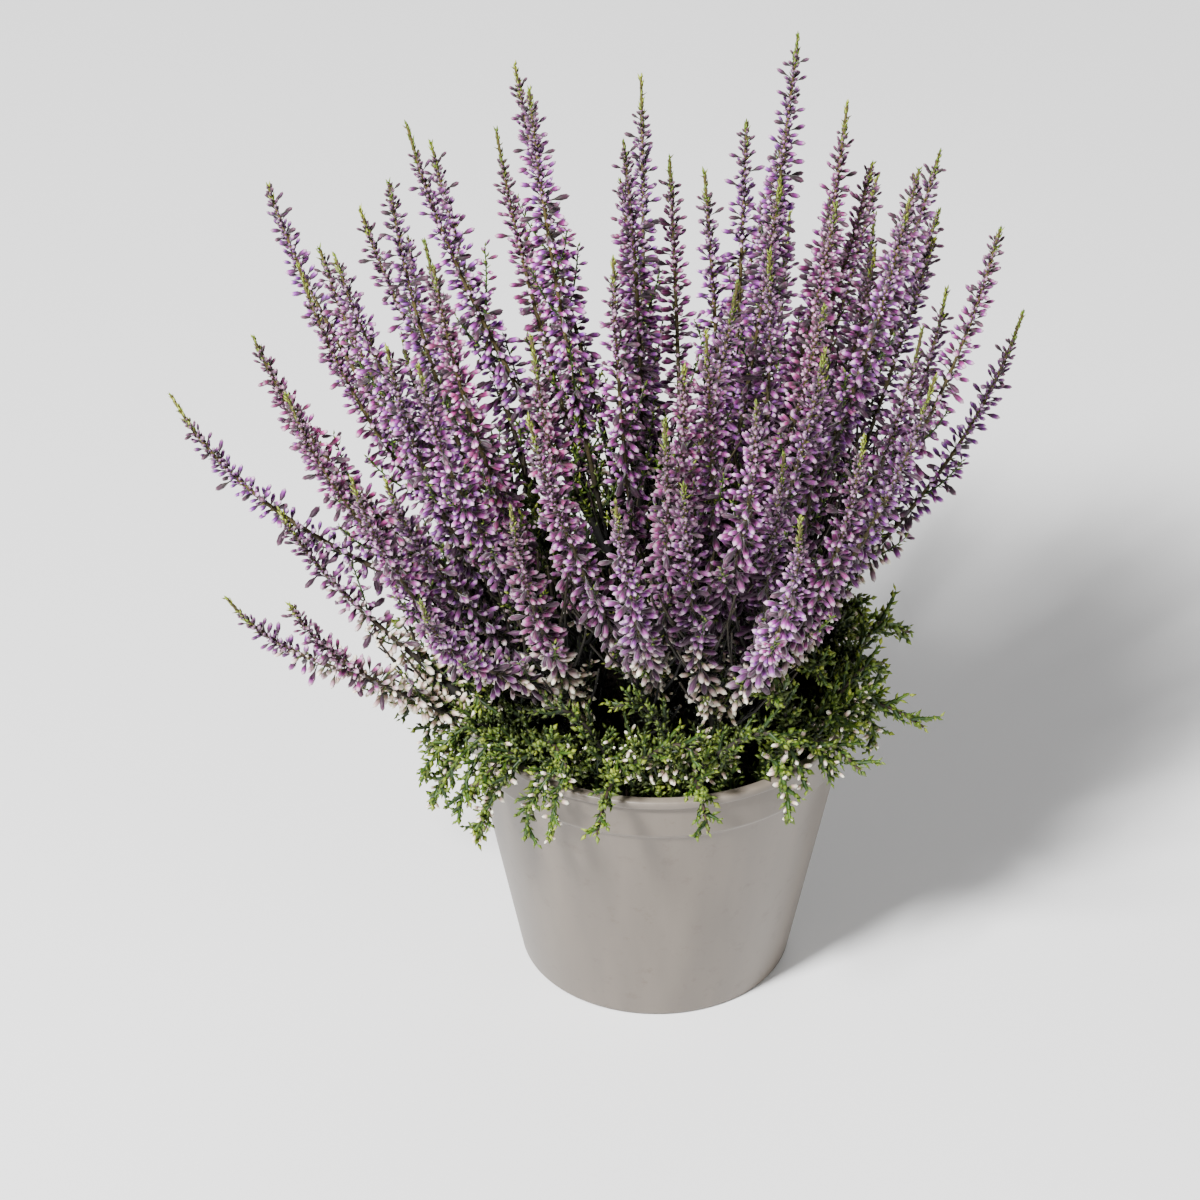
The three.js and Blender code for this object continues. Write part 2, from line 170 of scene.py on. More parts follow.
world = bpy.data.worlds.new("pale_studio")
world.use_nodes = True
backdrop = world.node_tree.nodes["Background"].inputs
backdrop["Color"].default_value = paint(255, 255, 255)
backdrop["Strength"].default_value = 0.2
bpy.context.scene.world = world

HALF_FLOOR = 3
corners = [(-1, -1), (1, -1), (1, 1), (-1, 1)]
floor_mesh = bpy.data.meshes.new("floor")
floor_mesh.from_pydata([(x * HALF_FLOOR, y * HALF_FLOOR, 0) for x, y in corners], [], [range(4)])
floor_look = bpy.data.materials.new("pale_floor")
floor_look.use_nodes = True
floor_skin = floor_look.node_tree.nodes["Principled BSDF"].inputs
floor_skin["Base Color"].default_value = paint(245, 245, 245)
floor_skin["Roughness"].default_value = 0.8
floor_mesh.materials.append(floor_look)
floor = in_scene("floor", floor_mesh)

# %% [markdown]
# ## Growth rule
#
# A heather sends up many thin stems from its crown. Each leans outwards first and then turns up to
# the light, and all the tips together form a wide dome. We could place the stems by hand, but the
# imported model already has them, made by a rule. Repeating that rule with the same sizes and the
# same random numbers puts every bud on the stem that the frame holds for it. All these sizes are
# in millimetres.

# %% Sizes of the plant
POT_HEIGHT = 82
LIP_RADIUS = 52.5
LIP_HEIGHT = 2.2
COLLAR_RADIUS = 50.9
COLLAR_FOOT = 70
FOOT_RADIUS = 36
WALL = 1.2
SOIL_TOP = 74
HOLE_DEPTH = 12
STEM_RISE = 5
SPRAYS = 26
SPIKES_PER_SPRAY = 3
CROWN_RADIUS = 34
DOME_HEIGHT = 158
DOME_WIDTH = 103
DOME_DEPTH_SHARE = 0.9
DOME_SQUARENESS = 4
LEAN_LEFT = 15
LEAN_BACK = 8
EDGE_FALL = 73
EDGE_FALL_LEFT = 12
EDGE_FALL_BACK = 8
CROWDING = 0.62
GOLDEN_ANGLE = math.pi * (3 - math.sqrt(5))
print("Flowering spikes:", SPRAYS * SPIKES_PER_SPRAY)

# %% Random numbers, the same ones each run
random_state = 4711


def chance():
    """A number from 0 to 1."""
    global random_state
    random_state = (random_state * 16807) % 2147483647
    return random_state / 2147483647


def between(low, high):
    return low + (high - low) * chance()


def mix(first, second, share):
    return first + (second - first) * share


def around(radius, angle, z):
    """A point at a radius and an angle round the pot's axis."""
    return np.array([radius * math.cos(angle), radius * math.sin(angle), z])


def unit(vector):
    return vector / np.linalg.norm(vector)


print("A point round the pot:", around(LIP_RADIUS, 1.0, POT_HEIGHT).round(1))


# %% A strand is one stem or twig
class Strand:
    """Points along a stem, how thick it is and how freely it bends at each of them."""

    def __init__(self, points, thickness, group, parent=None, fork=0):
        self.points = np.array(points, dtype=float)
        self.grown = self.points.copy()
        steps = np.arange(len(points))
        self.thickness = np.array([thickness(i / steps[-1]) for i in steps])
        self.freedom = np.ones(len(points)) if parent else np.clip((steps - 1) / 4, 0, 1)
        self.group = group
        self.parent = parent
        self.fork = fork


def bezier(start, first, second, end, steps):
    t = np.linspace(0, 1, steps + 1)[:, None]
    s = 1 - t
    return start * s**3 + 3 * first * t * s**2 + 3 * second * t**2 * s + end * t**3


print("Halfway along a curve:", bezier(*np.eye(4), 2)[1])


# %% Where a flowering shoot ends
def dome_point(share, angle):
    """A tip on the dome: share runs from 0 in the middle to 1 at the edge.

    The plant leans to its left and back, so its edge reaches further out and lower there.
    """
    left, behind = -math.cos(angle), math.sin(angle)
    edge = EDGE_FALL + EDGE_FALL_LEFT * left + EDGE_FALL_BACK * behind
    fall = math.radians(edge) * share**CROWDING
    power = 2 / DOME_SQUARENESS
    width = (DOME_WIDTH + LEAN_LEFT * left + LEAN_BACK * behind) * math.sin(fall) ** power
    height = DOME_HEIGHT * math.cos(fall) ** power
    return around(width, angle, POT_HEIGHT + height) * [1, DOME_DEPTH_SHARE, 1]


FOOT_LEAN = 1.2
MOST_LEAN = 1.05
FOOT_PULL = 0.3
TIP_LEAN = 0.5
TIP_PULL = 0.38


def growth(start, tip, sway, steps):
    """A curve that leans out at first and then turns up to the light."""
    out = (tip - start) * [1, 1, 0]
    reach = np.linalg.norm(tip - start)
    lean = math.atan2(np.linalg.norm(out), tip[2] - start[2])
    out = unit(out)

    def leaning(angle):
        return out * math.sin(angle) + np.array([0, 0, math.cos(angle)])

    side = np.array([-out[1], out[0], 0]) * sway
    first = start + leaning(min(lean * FOOT_LEAN, MOST_LEAN)) * reach * FOOT_PULL + side
    second = tip - leaning(lean * TIP_LEAN) * reach * TIP_PULL + side
    return bezier(start, first, second, tip, steps)


print("Top of the dome:", dome_point(0.02, 0).round(1))

# %% A spray: a leading stem and the side stems that fork from it
STEM_RADIUS = 1.5
SPIKE_RADIUS = 6.6
STEM_STEPS = 12
SIDE_STEPS = 9
FIRST_FORK = 3
SWAY = 5
TIP_SPREAD = 18
TIP_SHORTEST = -17
TIP_LONGEST = 9
SIDE_SPIKE_LACK = 5
BARE_SHARE = 0.3
BARE_ROOM = 1.5
TIP_ROOM = 0.6


def spike_thickness(t):
    """The room a spike needs: little at its bare stem, most where its buds begin."""
    return STEM_RADIUS * BARE_ROOM if t < BARE_SHARE else SPIKE_RADIUS * mix(1, TIP_ROOM, t)


def foot_and_start(radius, angle):
    """Where a stem stands in the soil, and the place above it where it begins to bend."""
    foot = around(radius, angle, SOIL_TOP - HOLE_DEPTH)
    return foot, foot * [1, 1, 0] + [0, 0, SOIL_TOP + STEM_RISE]


def spray(number):
    share = (number + 0.5) / SPRAYS
    angle = number * GOLDEN_ANGLE + between(-0.12, 0.12)
    foot, start = foot_and_start(CROWN_RADIUS * math.sqrt(share), angle)
    middle = dome_point(share, angle + between(-0.1, 0.1))
    across = np.array([-math.sin(angle), math.cos(angle), 0])
    along = unit(middle - start)
    up = unit(np.cross(along, across))
    turn = between(0, 2 * math.pi)
    strands = []
    for i in range(SPIKES_PER_SPRAY):
        a = turn + i * 2 * math.pi / SPIKES_PER_SPRAY + between(-0.25, 0.25)
        spread = TIP_SPREAD * between(0.8, 1.2)
        tip = middle + across * spread * math.cos(a) + up * spread * math.sin(a)
        tip = tip + along * (between(TIP_SHORTEST, TIP_LONGEST) - (SIDE_SPIKE_LACK if i else 0))
        sway = between(-SWAY, SWAY)
        if i == 0:
            points = np.vstack([foot, growth(start, tip, sway, STEM_STEPS)])
            strands.append(Strand(points, spike_thickness, number))
        else:
            fork = FIRST_FORK + i - 1
            points = growth(strands[0].points[fork], tip, sway, SIDE_STEPS)
            strands.append(Strand(points, spike_thickness, number, strands[0], fork))
    return strands


sprays = [spray(number) for number in range(SPRAYS)]
print("Stems in the sprays:", sum(len(group) for group in sprays))

# %% A tuft: short leafy twigs, one of which hangs over the pot's rim
RIM_TUFTS = 12
INNER_TUFTS = 3
RIM_TUFT_CIRCLE = 41.5
INNER_TUFT_CIRCLE = 22
RIM_TWIG_REACH = 29
RIM_TWIG_RISE = (48, 2)
INNER_TWIG_REACH = 11
INNER_TWIG_RISE = (42, 56)
TWIG_SPREAD = 0.4
TWIG_STEPS = 6
SIDE_TWIG_STEPS = 4
TWIG_FORK = 2
LEAF_RADIUS = 5
TWIG_WAYS = ((1, 0), (0.5, -1), (0.6, 1))


def arching(start, tip, steps):
    """A curve that rises from the soil and hangs over the more, the further out it ends."""
    out = (tip - start) * [0.35, 0.35, 0]
    rise = np.array([0, 0, np.linalg.norm(tip - start) * 0.4])
    return bezier(start, start + rise + out, tip - out + rise * 0.5, tip, steps)


def tuft(number):
    at_rim = number < RIM_TUFTS
    count = RIM_TUFTS if at_rim else INNER_TUFTS
    circle = RIM_TUFT_CIRCLE if at_rim else INNER_TUFT_CIRCLE
    twig_reach = RIM_TWIG_REACH if at_rim else INNER_TWIG_REACH
    rises = RIM_TWIG_RISE if at_rim else INNER_TWIG_RISE
    angle = (number % RIM_TUFTS + 0.5) * 2 * math.pi / count + between(-0.1, 0.1)
    foot, start = foot_and_start(circle, angle)
    strands = []
    for out, side in TWIG_WAYS:
        reach = circle + twig_reach * between(0.85, 1.15) * out
        tip = around(reach, angle + side * TWIG_SPREAD, POT_HEIGHT + mix(*rises, out))
        if out == 1:
            points = np.vstack([foot, arching(start, tip, TWIG_STEPS)])
            strands.append(Strand(points, lambda t: LEAF_RADIUS, SPRAYS + number))
        else:
            leader = strands[0]
            points = arching(leader.points[TWIG_FORK], tip, SIDE_TWIG_STEPS)
            strands.append(Strand(points, lambda t: LEAF_RADIUS, leader.group, leader, TWIG_FORK))
    return strands


tufts = [tuft(number) for number in range(RIM_TUFTS + INNER_TUFTS)]
print("Twigs in the tufts:", sum(len(group) for group in tufts))

# %% [markdown]
# ## Stems make room for each other
#
# In a real bush the stems push each other aside, and none passes through the pot. The rule does
# the same: in each round every point that stands too close to another stem, to the pot or to the
# soil moves away a little, and then the shift is shared with its neighbours so that stems stay
# smooth.

# %% The way from a point to the pot
pot_edge = np.array(
    [
        (COLLAR_RADIUS - WALL, SOIL_TOP),
        (COLLAR_RADIUS - WALL, POT_HEIGHT),
        (LIP_RADIUS, POT_HEIGHT),
        (LIP_RADIUS, POT_HEIGHT - LIP_HEIGHT),
        (COLLAR_RADIUS, COLLAR_FOOT),
        (FOOT_RADIUS, 0),
    ]
)


def from_pot(places):
    """How far each place is from the pot's section, and the direction away from it."""
    flat = np.column_stack([np.hypot(places[:, 0], places[:, 1]), places[:, 2]])
    edge = np.diff(pot_edge, axis=0)
    share = np.einsum("pij,ij->pi", flat[:, None] - pot_edge[:-1], edge) / (edge**2).sum(1)
    nearest = pot_edge[:-1] + np.clip(share, 0, 1)[..., None] * edge
    off = flat[:, None] - nearest
    far = np.linalg.norm(off, axis=2)
    rows = np.arange(len(places))
    best = far.argmin(1)
    off = off[rows, best]
    away = np.column_stack([places[:, :2] * (off[:, 0] / flat[:, 0])[:, None], off[:, 1]])
    return far[rows, best], away / np.linalg.norm(away, axis=1)[:, None]


print("Gap from a point beside the rim:", from_pot(np.array([[60.0, 0, 82]]))[0])

# %% Which stems may come too close
CLEAR_GAP = 0.8
KIN_SHARE = 0.7
KIN_JOINED = 4
LOOK_AROUND = 22


def one_list(strands, value):
    return np.concatenate([value(number, strand) for number, strand in enumerate(strands)])


def close_pairs(strands, place, thick):
    """Pairs of points of different stems that may come too close, and the room they need."""
    group = one_list(strands, lambda n, s: np.full(len(s.points), s.group))
    owner = one_list(strands, lambda n, s: np.full(len(s.points), n))
    order = one_list(strands, lambda n, s: np.arange(len(s.points)))
    far = np.linalg.norm(place[:, None] - place, axis=2)
    kin = group[:, None] == group
    room = np.where(kin, KIN_SHARE, 1) * (thick[:, None] + thick) + CLEAR_GAP
    low_down = np.minimum(order[:, None], order) < KIN_JOINED
    joined = kin & ((owner[:, None] == owner) | low_down)
    one, other = np.nonzero(np.triu(~joined & (far <= room + LOOK_AROUND), 1))
    return one, other, room[one, other]


all_strands = [strand for group in sprays + tufts for strand in group]
print("Stems and twigs:", len(all_strands))

# %% Bend the stems clear
CLEAR_ROUNDS = 90
PUSH = 0.3
HARD_PUSH = 0.5
EVENNESS = 0.35


def even_out(strand):
    """Shares each point's shift with its neighbours, and keeps forks joined."""
    if strand.parent:
        strand.points[0] = strand.parent.points[strand.fork]
    shifts = strand.points - strand.grown
    last = len(shifts) - 1
    for i in range(1, last + 1):
        even = (shifts[i - 1] + shifts[min(i + 1, last)]) / 2
        shifts[i] += EVENNESS * strand.freedom[i] * (even - shifts[i])
    strand.points[1:] = strand.grown[1:] + shifts[1:]


def bend_clear(strands):
    place = np.vstack([s.points for s in strands])
    ends = np.cumsum([len(s.points) for s in strands])[:-1]
    for strand, part in zip(strands, np.split(place, ends)):
        strand.points = part
    thick = one_list(strands, lambda n, s: s.thickness)
    freedom = one_list(strands, lambda n, s: s.freedom)[:, None]
    one, other, room = close_pairs(strands, place, thick)
    reach = thick + CLEAR_GAP
    for _ in range(CLEAR_ROUNDS):
        gap = place[one] - place[other]
        far = np.linalg.norm(gap, axis=1)
        gap *= (PUSH * np.maximum(room - far, 0) / far)[:, None]
        push = np.zeros_like(place)
        np.add.at(push, one, gap)
        np.add.at(push, other, -gap)
        distance, away = from_pot(place)
        push += away * (HARD_PUSH * np.maximum(reach - distance, 0))[:, None]
        over_soil = np.hypot(place[:, 0], place[:, 1]) < LIP_RADIUS
        low = np.maximum(SOIL_TOP + reach - place[:, 2], 0)
        push[:, 2] += HARD_PUSH * low * over_soil
        place += push * freedom
        for strand in strands:
            even_out(strand)


bend_clear(all_strands)
moved = max(np.abs(s.points - s.grown).max() for s in all_strands)
print("Largest shift in mm:", round(float(moved), 1))

# %% [markdown]
# ## From a few points to a fine path
#
# The rule gives each stem five to fourteen points, and straight lines between them would show as
# corners. A curve through the points, read again at even steps, gives a smooth path. Buds and
# leaves are then placed by the distance along it.

# %% Fine paths
PATH_STEP = 2.0


def distances(path):
    """How far along a path each of its points is."""
    return np.concatenate([[0], np.cumsum(np.linalg.norm(np.diff(path, axis=0), axis=1))])


def piece_of(path, low, high, step=PATH_STEP):
    """The part of a path between two distances, at even steps."""
    far = distances(path)
    stops = np.linspace(low, high, max(2, round((high - low) / step) + 1))
    return np.column_stack([np.interp(stops, far, path[:, axis]) for axis in range(3)])


def smooth(points, step=PATH_STEP):
    """A smooth curve through all the points."""
    rows = np.vstack([2 * points[0] - points[1], points, 2 * points[-1] - points[-2]])
    t = np.linspace(0, 1, 8, endpoint=False)[:, None]
    fine = []
    for a, b, c, d in zip(rows, rows[1:], rows[2:], rows[3:]):
        bend = (2 * a - 5 * b + 4 * c - d) * t**2 + (3 * b - a - 3 * c + d) * t**3
        fine.append(b + 0.5 * ((c - a) * t + bend))
    path = np.vstack([*fine, points[-1:]])
    return piece_of(path, 0, distances(path)[-1], step)


spray_paths = [[smooth(s.points) for s in group] for group in sprays]
tuft_paths = [[smooth(s.points) for s in group] for group in tufts]
print("Longest stem in mm:", round(max(distances(p)[-1] for g in spray_paths for p in g)))

# %% [markdown]
# ## Light inside the bush
#
# Little light reaches the middle of a dense bush, and the dark gaps between bright spikes are what
# gives a heather its depth. We could leave this to the lamps, but they don't make it dark enough,
# so the shade is painted into the colours. The space round the plant is cut into boxes, each box
# counts the stem points in it, and from every box we look out in many directions: the more stems
# stand in the way, the less light comes in. Every stem will carry this value, and the finishes
# paint shade with it.

# %% How much light reaches each box
BOX = 8.0
BOXES = (40, 36, 26)
GRID_CORNER = np.array([-160.0, -144.0, 58.0])
LOOK_STEPS = 11
LOOK_DIRECTIONS = 30
SHADE_OF_A_POINT = 0.12


def box_light():
    """For each box, the share of the light from above and from the sides that reaches it."""
    points = np.vstack([path for group in spray_paths + tuft_paths for path in group])
    crowd = np.zeros(BOXES)
    np.add.at(crowd, tuple(((points - GRID_CORNER) / BOX).astype(int).T), 1)
    centres = np.stack(np.meshgrid(*[np.arange(n) for n in BOXES], indexing="ij"), axis=-1)
    light = np.zeros(BOXES)
    for i in range(LOOK_DIRECTIONS):
        rise = i / LOOK_DIRECTIONS
        level = math.sqrt(1 - rise**2)
        turn = i * GOLDEN_ANGLE
        heading = np.array([level * math.cos(turn), level * math.sin(turn), rise])
        met = np.zeros(BOXES)
        for step in range(1, LOOK_STEPS):
            seen = np.round(centres + heading * step).astype(int)
            inside = (seen < BOXES).all(axis=-1) & (seen >= 0).all(axis=-1)
            met[inside] += crowd[tuple(seen[inside].T)]
        light += np.exp(-SHADE_OF_A_POINT * met)
    return light / LOOK_DIRECTIONS


light_grid = box_light()


def light_at(points):
    """The light at each point, blended from the eight boxes round it."""
    spot = np.clip((points - GRID_CORNER) / BOX - 0.5, 0, np.array(BOXES) - 1.001)
    low = spot.astype(int)
    share = spot - low
    light = np.zeros(len(points))
    for corner in np.ndindex(2, 2, 2):
        weight = np.prod(np.where(corner, share, 1 - share), axis=1)
        light += weight * light_grid[tuple((low + corner).T)]
    return light


tips = np.array([path[-1] for group in spray_paths for path in group])
low_stems = np.array([group[0][15] for group in spray_paths])
print("Light on the tips:", light_at(tips).mean().round(2))
print("Light on the stems at 30 mm:", light_at(low_stems).mean().round(2))

# %% [markdown]
# ## One bud and one leaf
#
# A closed heather bud is a small blunt drop, about three millimetres long, that hangs on a thin
# stalk. Some stalks are short and some are long, which makes a spike look full and not like a
# bottle brush, and at the top of a spike sit young buds, mere beads. A leaf is a flat scale. All of
# them repeat thousands of times, so none has more than 16 faces: a drop needs only four sides once
# it is shaded smooth. Each point of a shape keeps a `tip` value, 0 up to the end of the
# stalk and 1 at the point, which the finish reads later to fade the colour.


# %% A helper for small pointed shapes
def pointed_shape(name, rings, length, sides, stalk=0.0, flatness=1.0):
    """Rings of [height, radius] between a point at the foot and a point at the tip, in mm."""
    places = [(0, 0, 0)]
    for height, radius in rings:
        for i in range(sides):
            angle = 2 * math.pi * i / sides
            places.append((radius * math.cos(angle) * flatness, radius * math.sin(angle), height))
    places.append((0, 0, length))
    faces = [(0, 1 + (i + 1) % sides, 1 + i) for i in range(sides)]
    for ring in range(len(rings) - 1):
        low = 1 + ring * sides
        for i in range(sides):
            j = (i + 1) % sides
            faces.append((low + i, low + j, low + sides + j, low + sides + i))
    top = 1 + (len(rings) - 1) * sides
    faces += [(top + i, top + (i + 1) % sides, len(places) - 1) for i in range(sides)]
    mesh = bpy.data.meshes.new(name)
    mesh.from_pydata([tuple(np.array(p) * MM) for p in places], [], faces)
    mesh.shade_smooth()
    tip = mesh.attributes.new("tip", "FLOAT", "POINT")
    tip.data.foreach_set("value", [max(0, (p[2] - stalk) / (length - stalk)) for p in places])
    return in_scene(name, mesh)


# %% The buds and the leaf
short_rings = [(0.7, 0.22), (1.9, 0.62), (3.1, 0.55)]
long_rings = [(2.1, 0.2), (3.4, 0.64), (4.6, 0.55)]
short_bud = pointed_shape("short_bud", short_rings, 3.7, 4, stalk=0.7)
long_bud = pointed_shape("long_bud", long_rings, 5.2, 4, stalk=2.1)
young_bud = pointed_shape("young_bud", [(1.1, 0.56)], 2.0, 4)
scale_leaf = pointed_shape("scale_leaf", [(0.9, 0.5)], 2.3, 3, flatness=0.55)
soft_leaf = pointed_shape("soft_leaf", [(1.3, 0.9)], 2.8, 3, flatness=0.45)
shapes = [short_bud, long_bud, young_bud, scale_leaf, soft_leaf]
for shape in shapes:
    print(shape.name, "has", len(shape.data.polygons), "faces")

# %% [markdown]
# ## Geometry Nodes: copies that spiral up a stem
#
# Buds, leaves and scales all grow in a spiral: each stands a golden angle round from the one below.
# Copying them by a loop of Python would work, but a Geometry Nodes tree does it faster, and its
# named inputs can be tried out by hand. The tree walks along each path, sets a copy at every step,
# tilts it away from the stem, lets it hang a little, and gives it a random `tone` for its colour.
# Low copies may droop while high ones point up, so angle and size are given for the foot and for
# the tip of a path, and an `along` value on the path says where a copy is.

# %% The tree for copies up a stem
copies_tree = bpy.data.node_groups.new("copies_up_a_stem", "GeometryNodeTree")
copies_inputs = {"Geometry": "Geometry", "Shape": "Object", "Seed": "Int", "Material": "Material"}
for title in (
    "Spacing", "Turn", "Angle at Foot", "Angle at Tip", "Angle Spread", "Hang",
    "Size at Foot", "Size at Tip", "Size Spread",
):
    copies_inputs[title] = "Float"


def name_sockets(tree, inputs):
    """Gives a tree its named inputs, each with its kind, and one output."""
    for title, kind in inputs.items():
        tree.interface.new_socket(title, in_out="INPUT", socket_type="NodeSocket" + kind)
    tree.interface.new_socket("Geometry", in_out="OUTPUT", socket_type="NodeSocketGeometry")


def spread_value(recipe, centre, spread, seed):
    """A random value within a spread on both sides of a centre."""
    low = recipe.sum("SUBTRACT", centre, spread)
    high = recipe.sum("ADD", centre, spread)
    feeds = {2: low, 3: high, 8: seed}
    return recipe.add("FunctionNodeRandomValue", feeds, data_type="FLOAT").outputs[1]


def named(recipe, name, kind="FLOAT"):
    """The value that a point carries under a name."""
    return recipe.add("GeometryNodeInputNamedAttribute", {0: name}, data_type=kind).outputs[0]


def from_to(recipe, share, low, high):
    return recipe.add("ShaderNodeMapRange", {0: share, 3: low, 4: high}).outputs[0]


name_sockets(copies_tree, copies_inputs)
print("Inputs:", list(copies_inputs))


# %% Wire the tree for copies up a stem
TURN_SPREAD = 0.35
LEAST_COPY = 0.05


def scaled(recipe, vector, factor):
    node = recipe.add("ShaderNodeVectorMath", {0: vector, 3: factor}, operation="SCALE")
    return node.outputs[0]


def added(recipe, first, second):
    return recipe.add("ShaderNodeVectorMath", {0: first, 1: second}, operation="ADD").outputs[0]


def turned_off(recipe, axis, side, angle):
    """A direction that stands at an angle from an axis, towards a side."""
    along = scaled(recipe, axis, recipe.sum("COSINE", angle))
    outwards = scaled(recipe, side, recipe.sum("SINE", angle))
    return added(recipe, along, outwards)


def wire_copies(tree):
    recipe = Recipe(tree)
    given = recipe.add("NodeGroupInput").outputs
    curve = recipe.add("GeometryNodeMeshToCurve", {0: given["Geometry"]}).outputs[0]
    feeds = {0: curve, 2: given["Spacing"]}
    steps = recipe.add("GeometryNodeCurveToPoints", feeds, mode="LENGTH").outputs
    tangent, normal = steps["Tangent"], steps["Normal"]
    feeds = {0: tangent, 1: normal}
    binormal = recipe.add("ShaderNodeVectorMath", feeds, operation="CROSS_PRODUCT").outputs[0]

    index = recipe.add("GeometryNodeInputIndex").outputs[0]
    turn = recipe.sum("MULTIPLY", index, given["Turn"])
    turn = spread_value(recipe, turn, TURN_SPREAD, given["Seed"])
    side = turned_off(recipe, normal, binormal, turn)
    share = named(recipe, "along")
    angle = from_to(recipe, share, given["Angle at Foot"], given["Angle at Tip"])
    angle = spread_value(recipe, angle, given["Angle Spread"], given["Seed"])
    heading = turned_off(recipe, tangent, side, angle)
    hang = recipe.sum("MULTIPLY", given["Hang"], recipe.sum("SUBTRACT", share, 1.0))
    heading = added(recipe, heading, recipe.add("ShaderNodeCombineXYZ", {2: hang}).outputs[0])
    feeds = {0: heading, 1: tangent}
    pose = recipe.add("FunctionNodeAxesToRotation", feeds, primary_axis="Z", secondary_axis="X")

    size = from_to(recipe, share, given["Size at Foot"], given["Size at Tip"])
    varied = spread_value(recipe, 1.0, given["Size Spread"], given["Seed"])
    size = recipe.sum("MULTIPLY", recipe.sum("MULTIPLY", size, varied), named(recipe, "fullness"))
    shape = recipe.add("GeometryNodeObjectInfo", {0: given["Shape"]}).outputs["Geometry"]
    wanted = recipe.sum("GREATER_THAN", size, LEAST_COPY)
    feeds = {0: steps["Points"], 1: wanted, 2: shape, 5: pose.outputs[0], 6: size}
    copies = recipe.add("GeometryNodeInstanceOnPoints", feeds).outputs[0]
    tone = recipe.add("FunctionNodeRandomValue", {8: given["Seed"]}, data_type="FLOAT").outputs[1]
    feeds = {0: copies, 2: "tone", 3: tone}
    kind = {"data_type": "FLOAT", "domain": "INSTANCE"}
    toned = recipe.add("GeometryNodeStoreNamedAttribute", feeds, **kind).outputs[0]
    real = recipe.add("GeometryNodeRealizeInstances", {0: toned}).outputs[0]
    feeds = {0: real, 2: given["Material"]}
    finished = recipe.add("GeometryNodeSetMaterial", feeds).outputs[0]
    recipe.add("NodeGroupOutput", {0: finished})


wire_copies(copies_tree)
print("Nodes in the tree:", len(copies_tree.nodes))

# %% [markdown]
# ## Geometry Nodes: leafy stems
#
# A stem is a thin tapered tube. On a curve, the tube's width can follow a value that each point
# carries, so the whole branching system becomes a mesh in one step. The second tree makes the
# tubes and calls the first tree for the leaves on them, and so gives wood and leaves together.

# %% The tree for leafy stems
stems_tree = bpy.data.node_groups.new("leafy_stems", "GeometryNodeTree")
name_sockets(stems_tree, copies_inputs | {"Sides": "Int", "Bark": "Material"})


def wire_stems(tree):
    recipe = Recipe(tree)
    given = recipe.add("NodeGroupInput").outputs
    curve = recipe.add("GeometryNodeMeshToCurve", {0: given["Geometry"]}).outputs[0]
    circle = recipe.add("GeometryNodeCurvePrimitiveCircle", {0: given["Sides"], 4: 1.0}).outputs[0]
    feeds = {0: curve, 1: circle, 2: named(recipe, "thick"), 3: True}
    tubes = recipe.add("GeometryNodeCurveToMesh", feeds).outputs[0]
    tubes = recipe.add("GeometryNodeSetShadeSmooth", {0: tubes}).outputs[0]
    wood = recipe.add("GeometryNodeSetMaterial", {0: tubes, 2: given["Bark"]}).outputs[0]
    copies = recipe.add("GeometryNodeGroup", node_tree=copies_tree)
    for title in copies_inputs:
        recipe.tree.links.new(given[title], copies.inputs[title])
    both = recipe.add("GeometryNodeJoinGeometry")
    recipe.tree.links.new(wood, both.inputs[0])
    recipe.tree.links.new(copies.outputs[0], both.inputs[0])
    real = recipe.add("GeometryNodeRealizeInstances", {0: both.outputs[0]}).outputs[0]
    recipe.add("NodeGroupOutput", {0: real})


wire_stems(stems_tree)
print("Nodes in the tree:", len(stems_tree.nodes))


# %% Guide meshes
def guide_mesh(name, paths):
    """A mesh of bare edges, a run of them for each path, with the values its points carry.

    A path is a dict of points, thick (in mm), fullness (the size of what grows on it), blush (a
    random value for the whole path) and, where it doesn't simply run from 0 to 1, along.
    """
    edges = []
    values = {title: [] for title in ("points", "along", "thick", "fullness", "blush", "light")}
    first = 0
    for path in paths:
        count = len(path["points"])
        edges += [(first + i, first + i + 1) for i in range(count - 1)]
        first += count
        carries = {"along": np.linspace(0, 1, count), "light": light_at(path["points"])} | path
        carries["thick"] = path["thick"] * MM
        carries["blush"] = np.full(count, path["blush"])
        for title, rows in values.items():
            rows.append(carries[title])
    mesh = bpy.data.meshes.new(name)
    mesh.from_pydata((np.vstack(values.pop("points")) * MM).tolist(), edges, [])
    for title, rows in values.items():
        attribute = mesh.attributes.new(title, "FLOAT", "POINT")
        attribute.data.foreach_set("value", np.concatenate(rows))
    return mesh


print("Stems that will guide the sprays:", sum(len(group) for group in spray_paths))


# %% From a tree or another modifier to a plain mesh
def plain_mesh(thing):
    """What a thing's modifiers make of it, as a plain mesh. The thing itself goes."""
    depsgraph = bpy.context.evaluated_depsgraph_get()
    made = bpy.data.meshes.new_from_object(thing.evaluated_get(depsgraph), depsgraph=depsgraph)
    bpy.data.objects.remove(thing)
    return made


def run_tree(tree, mesh, settings):
    """Runs a Geometry Nodes tree on a guide mesh, and gives the result as a plain mesh."""
    guide = in_scene(mesh.name, mesh)
    modifier = guide.modifiers.new("tree", "NODES")
    modifier.node_group = tree
    inputs = [item for item in tree.interface.items_tree if item.in_out == "INPUT"]
    sockets = {item.name: item.identifier for item in inputs}
    for title, value in settings.items():
        modifier[sockets[title]] = value
    return plain_mesh(guide)


def joined(meshes):
    """Several plain meshes as one, with the values that their points carry."""
    parts = [in_scene("part", mesh) for mesh in meshes]
    with bpy.context.temp_override(
        object=parts[0], active_object=parts[0], selected_editable_objects=parts
    ):
        bpy.ops.object.join()
    whole = parts[0].data
    bpy.data.objects.remove(parts[0])
    return whole


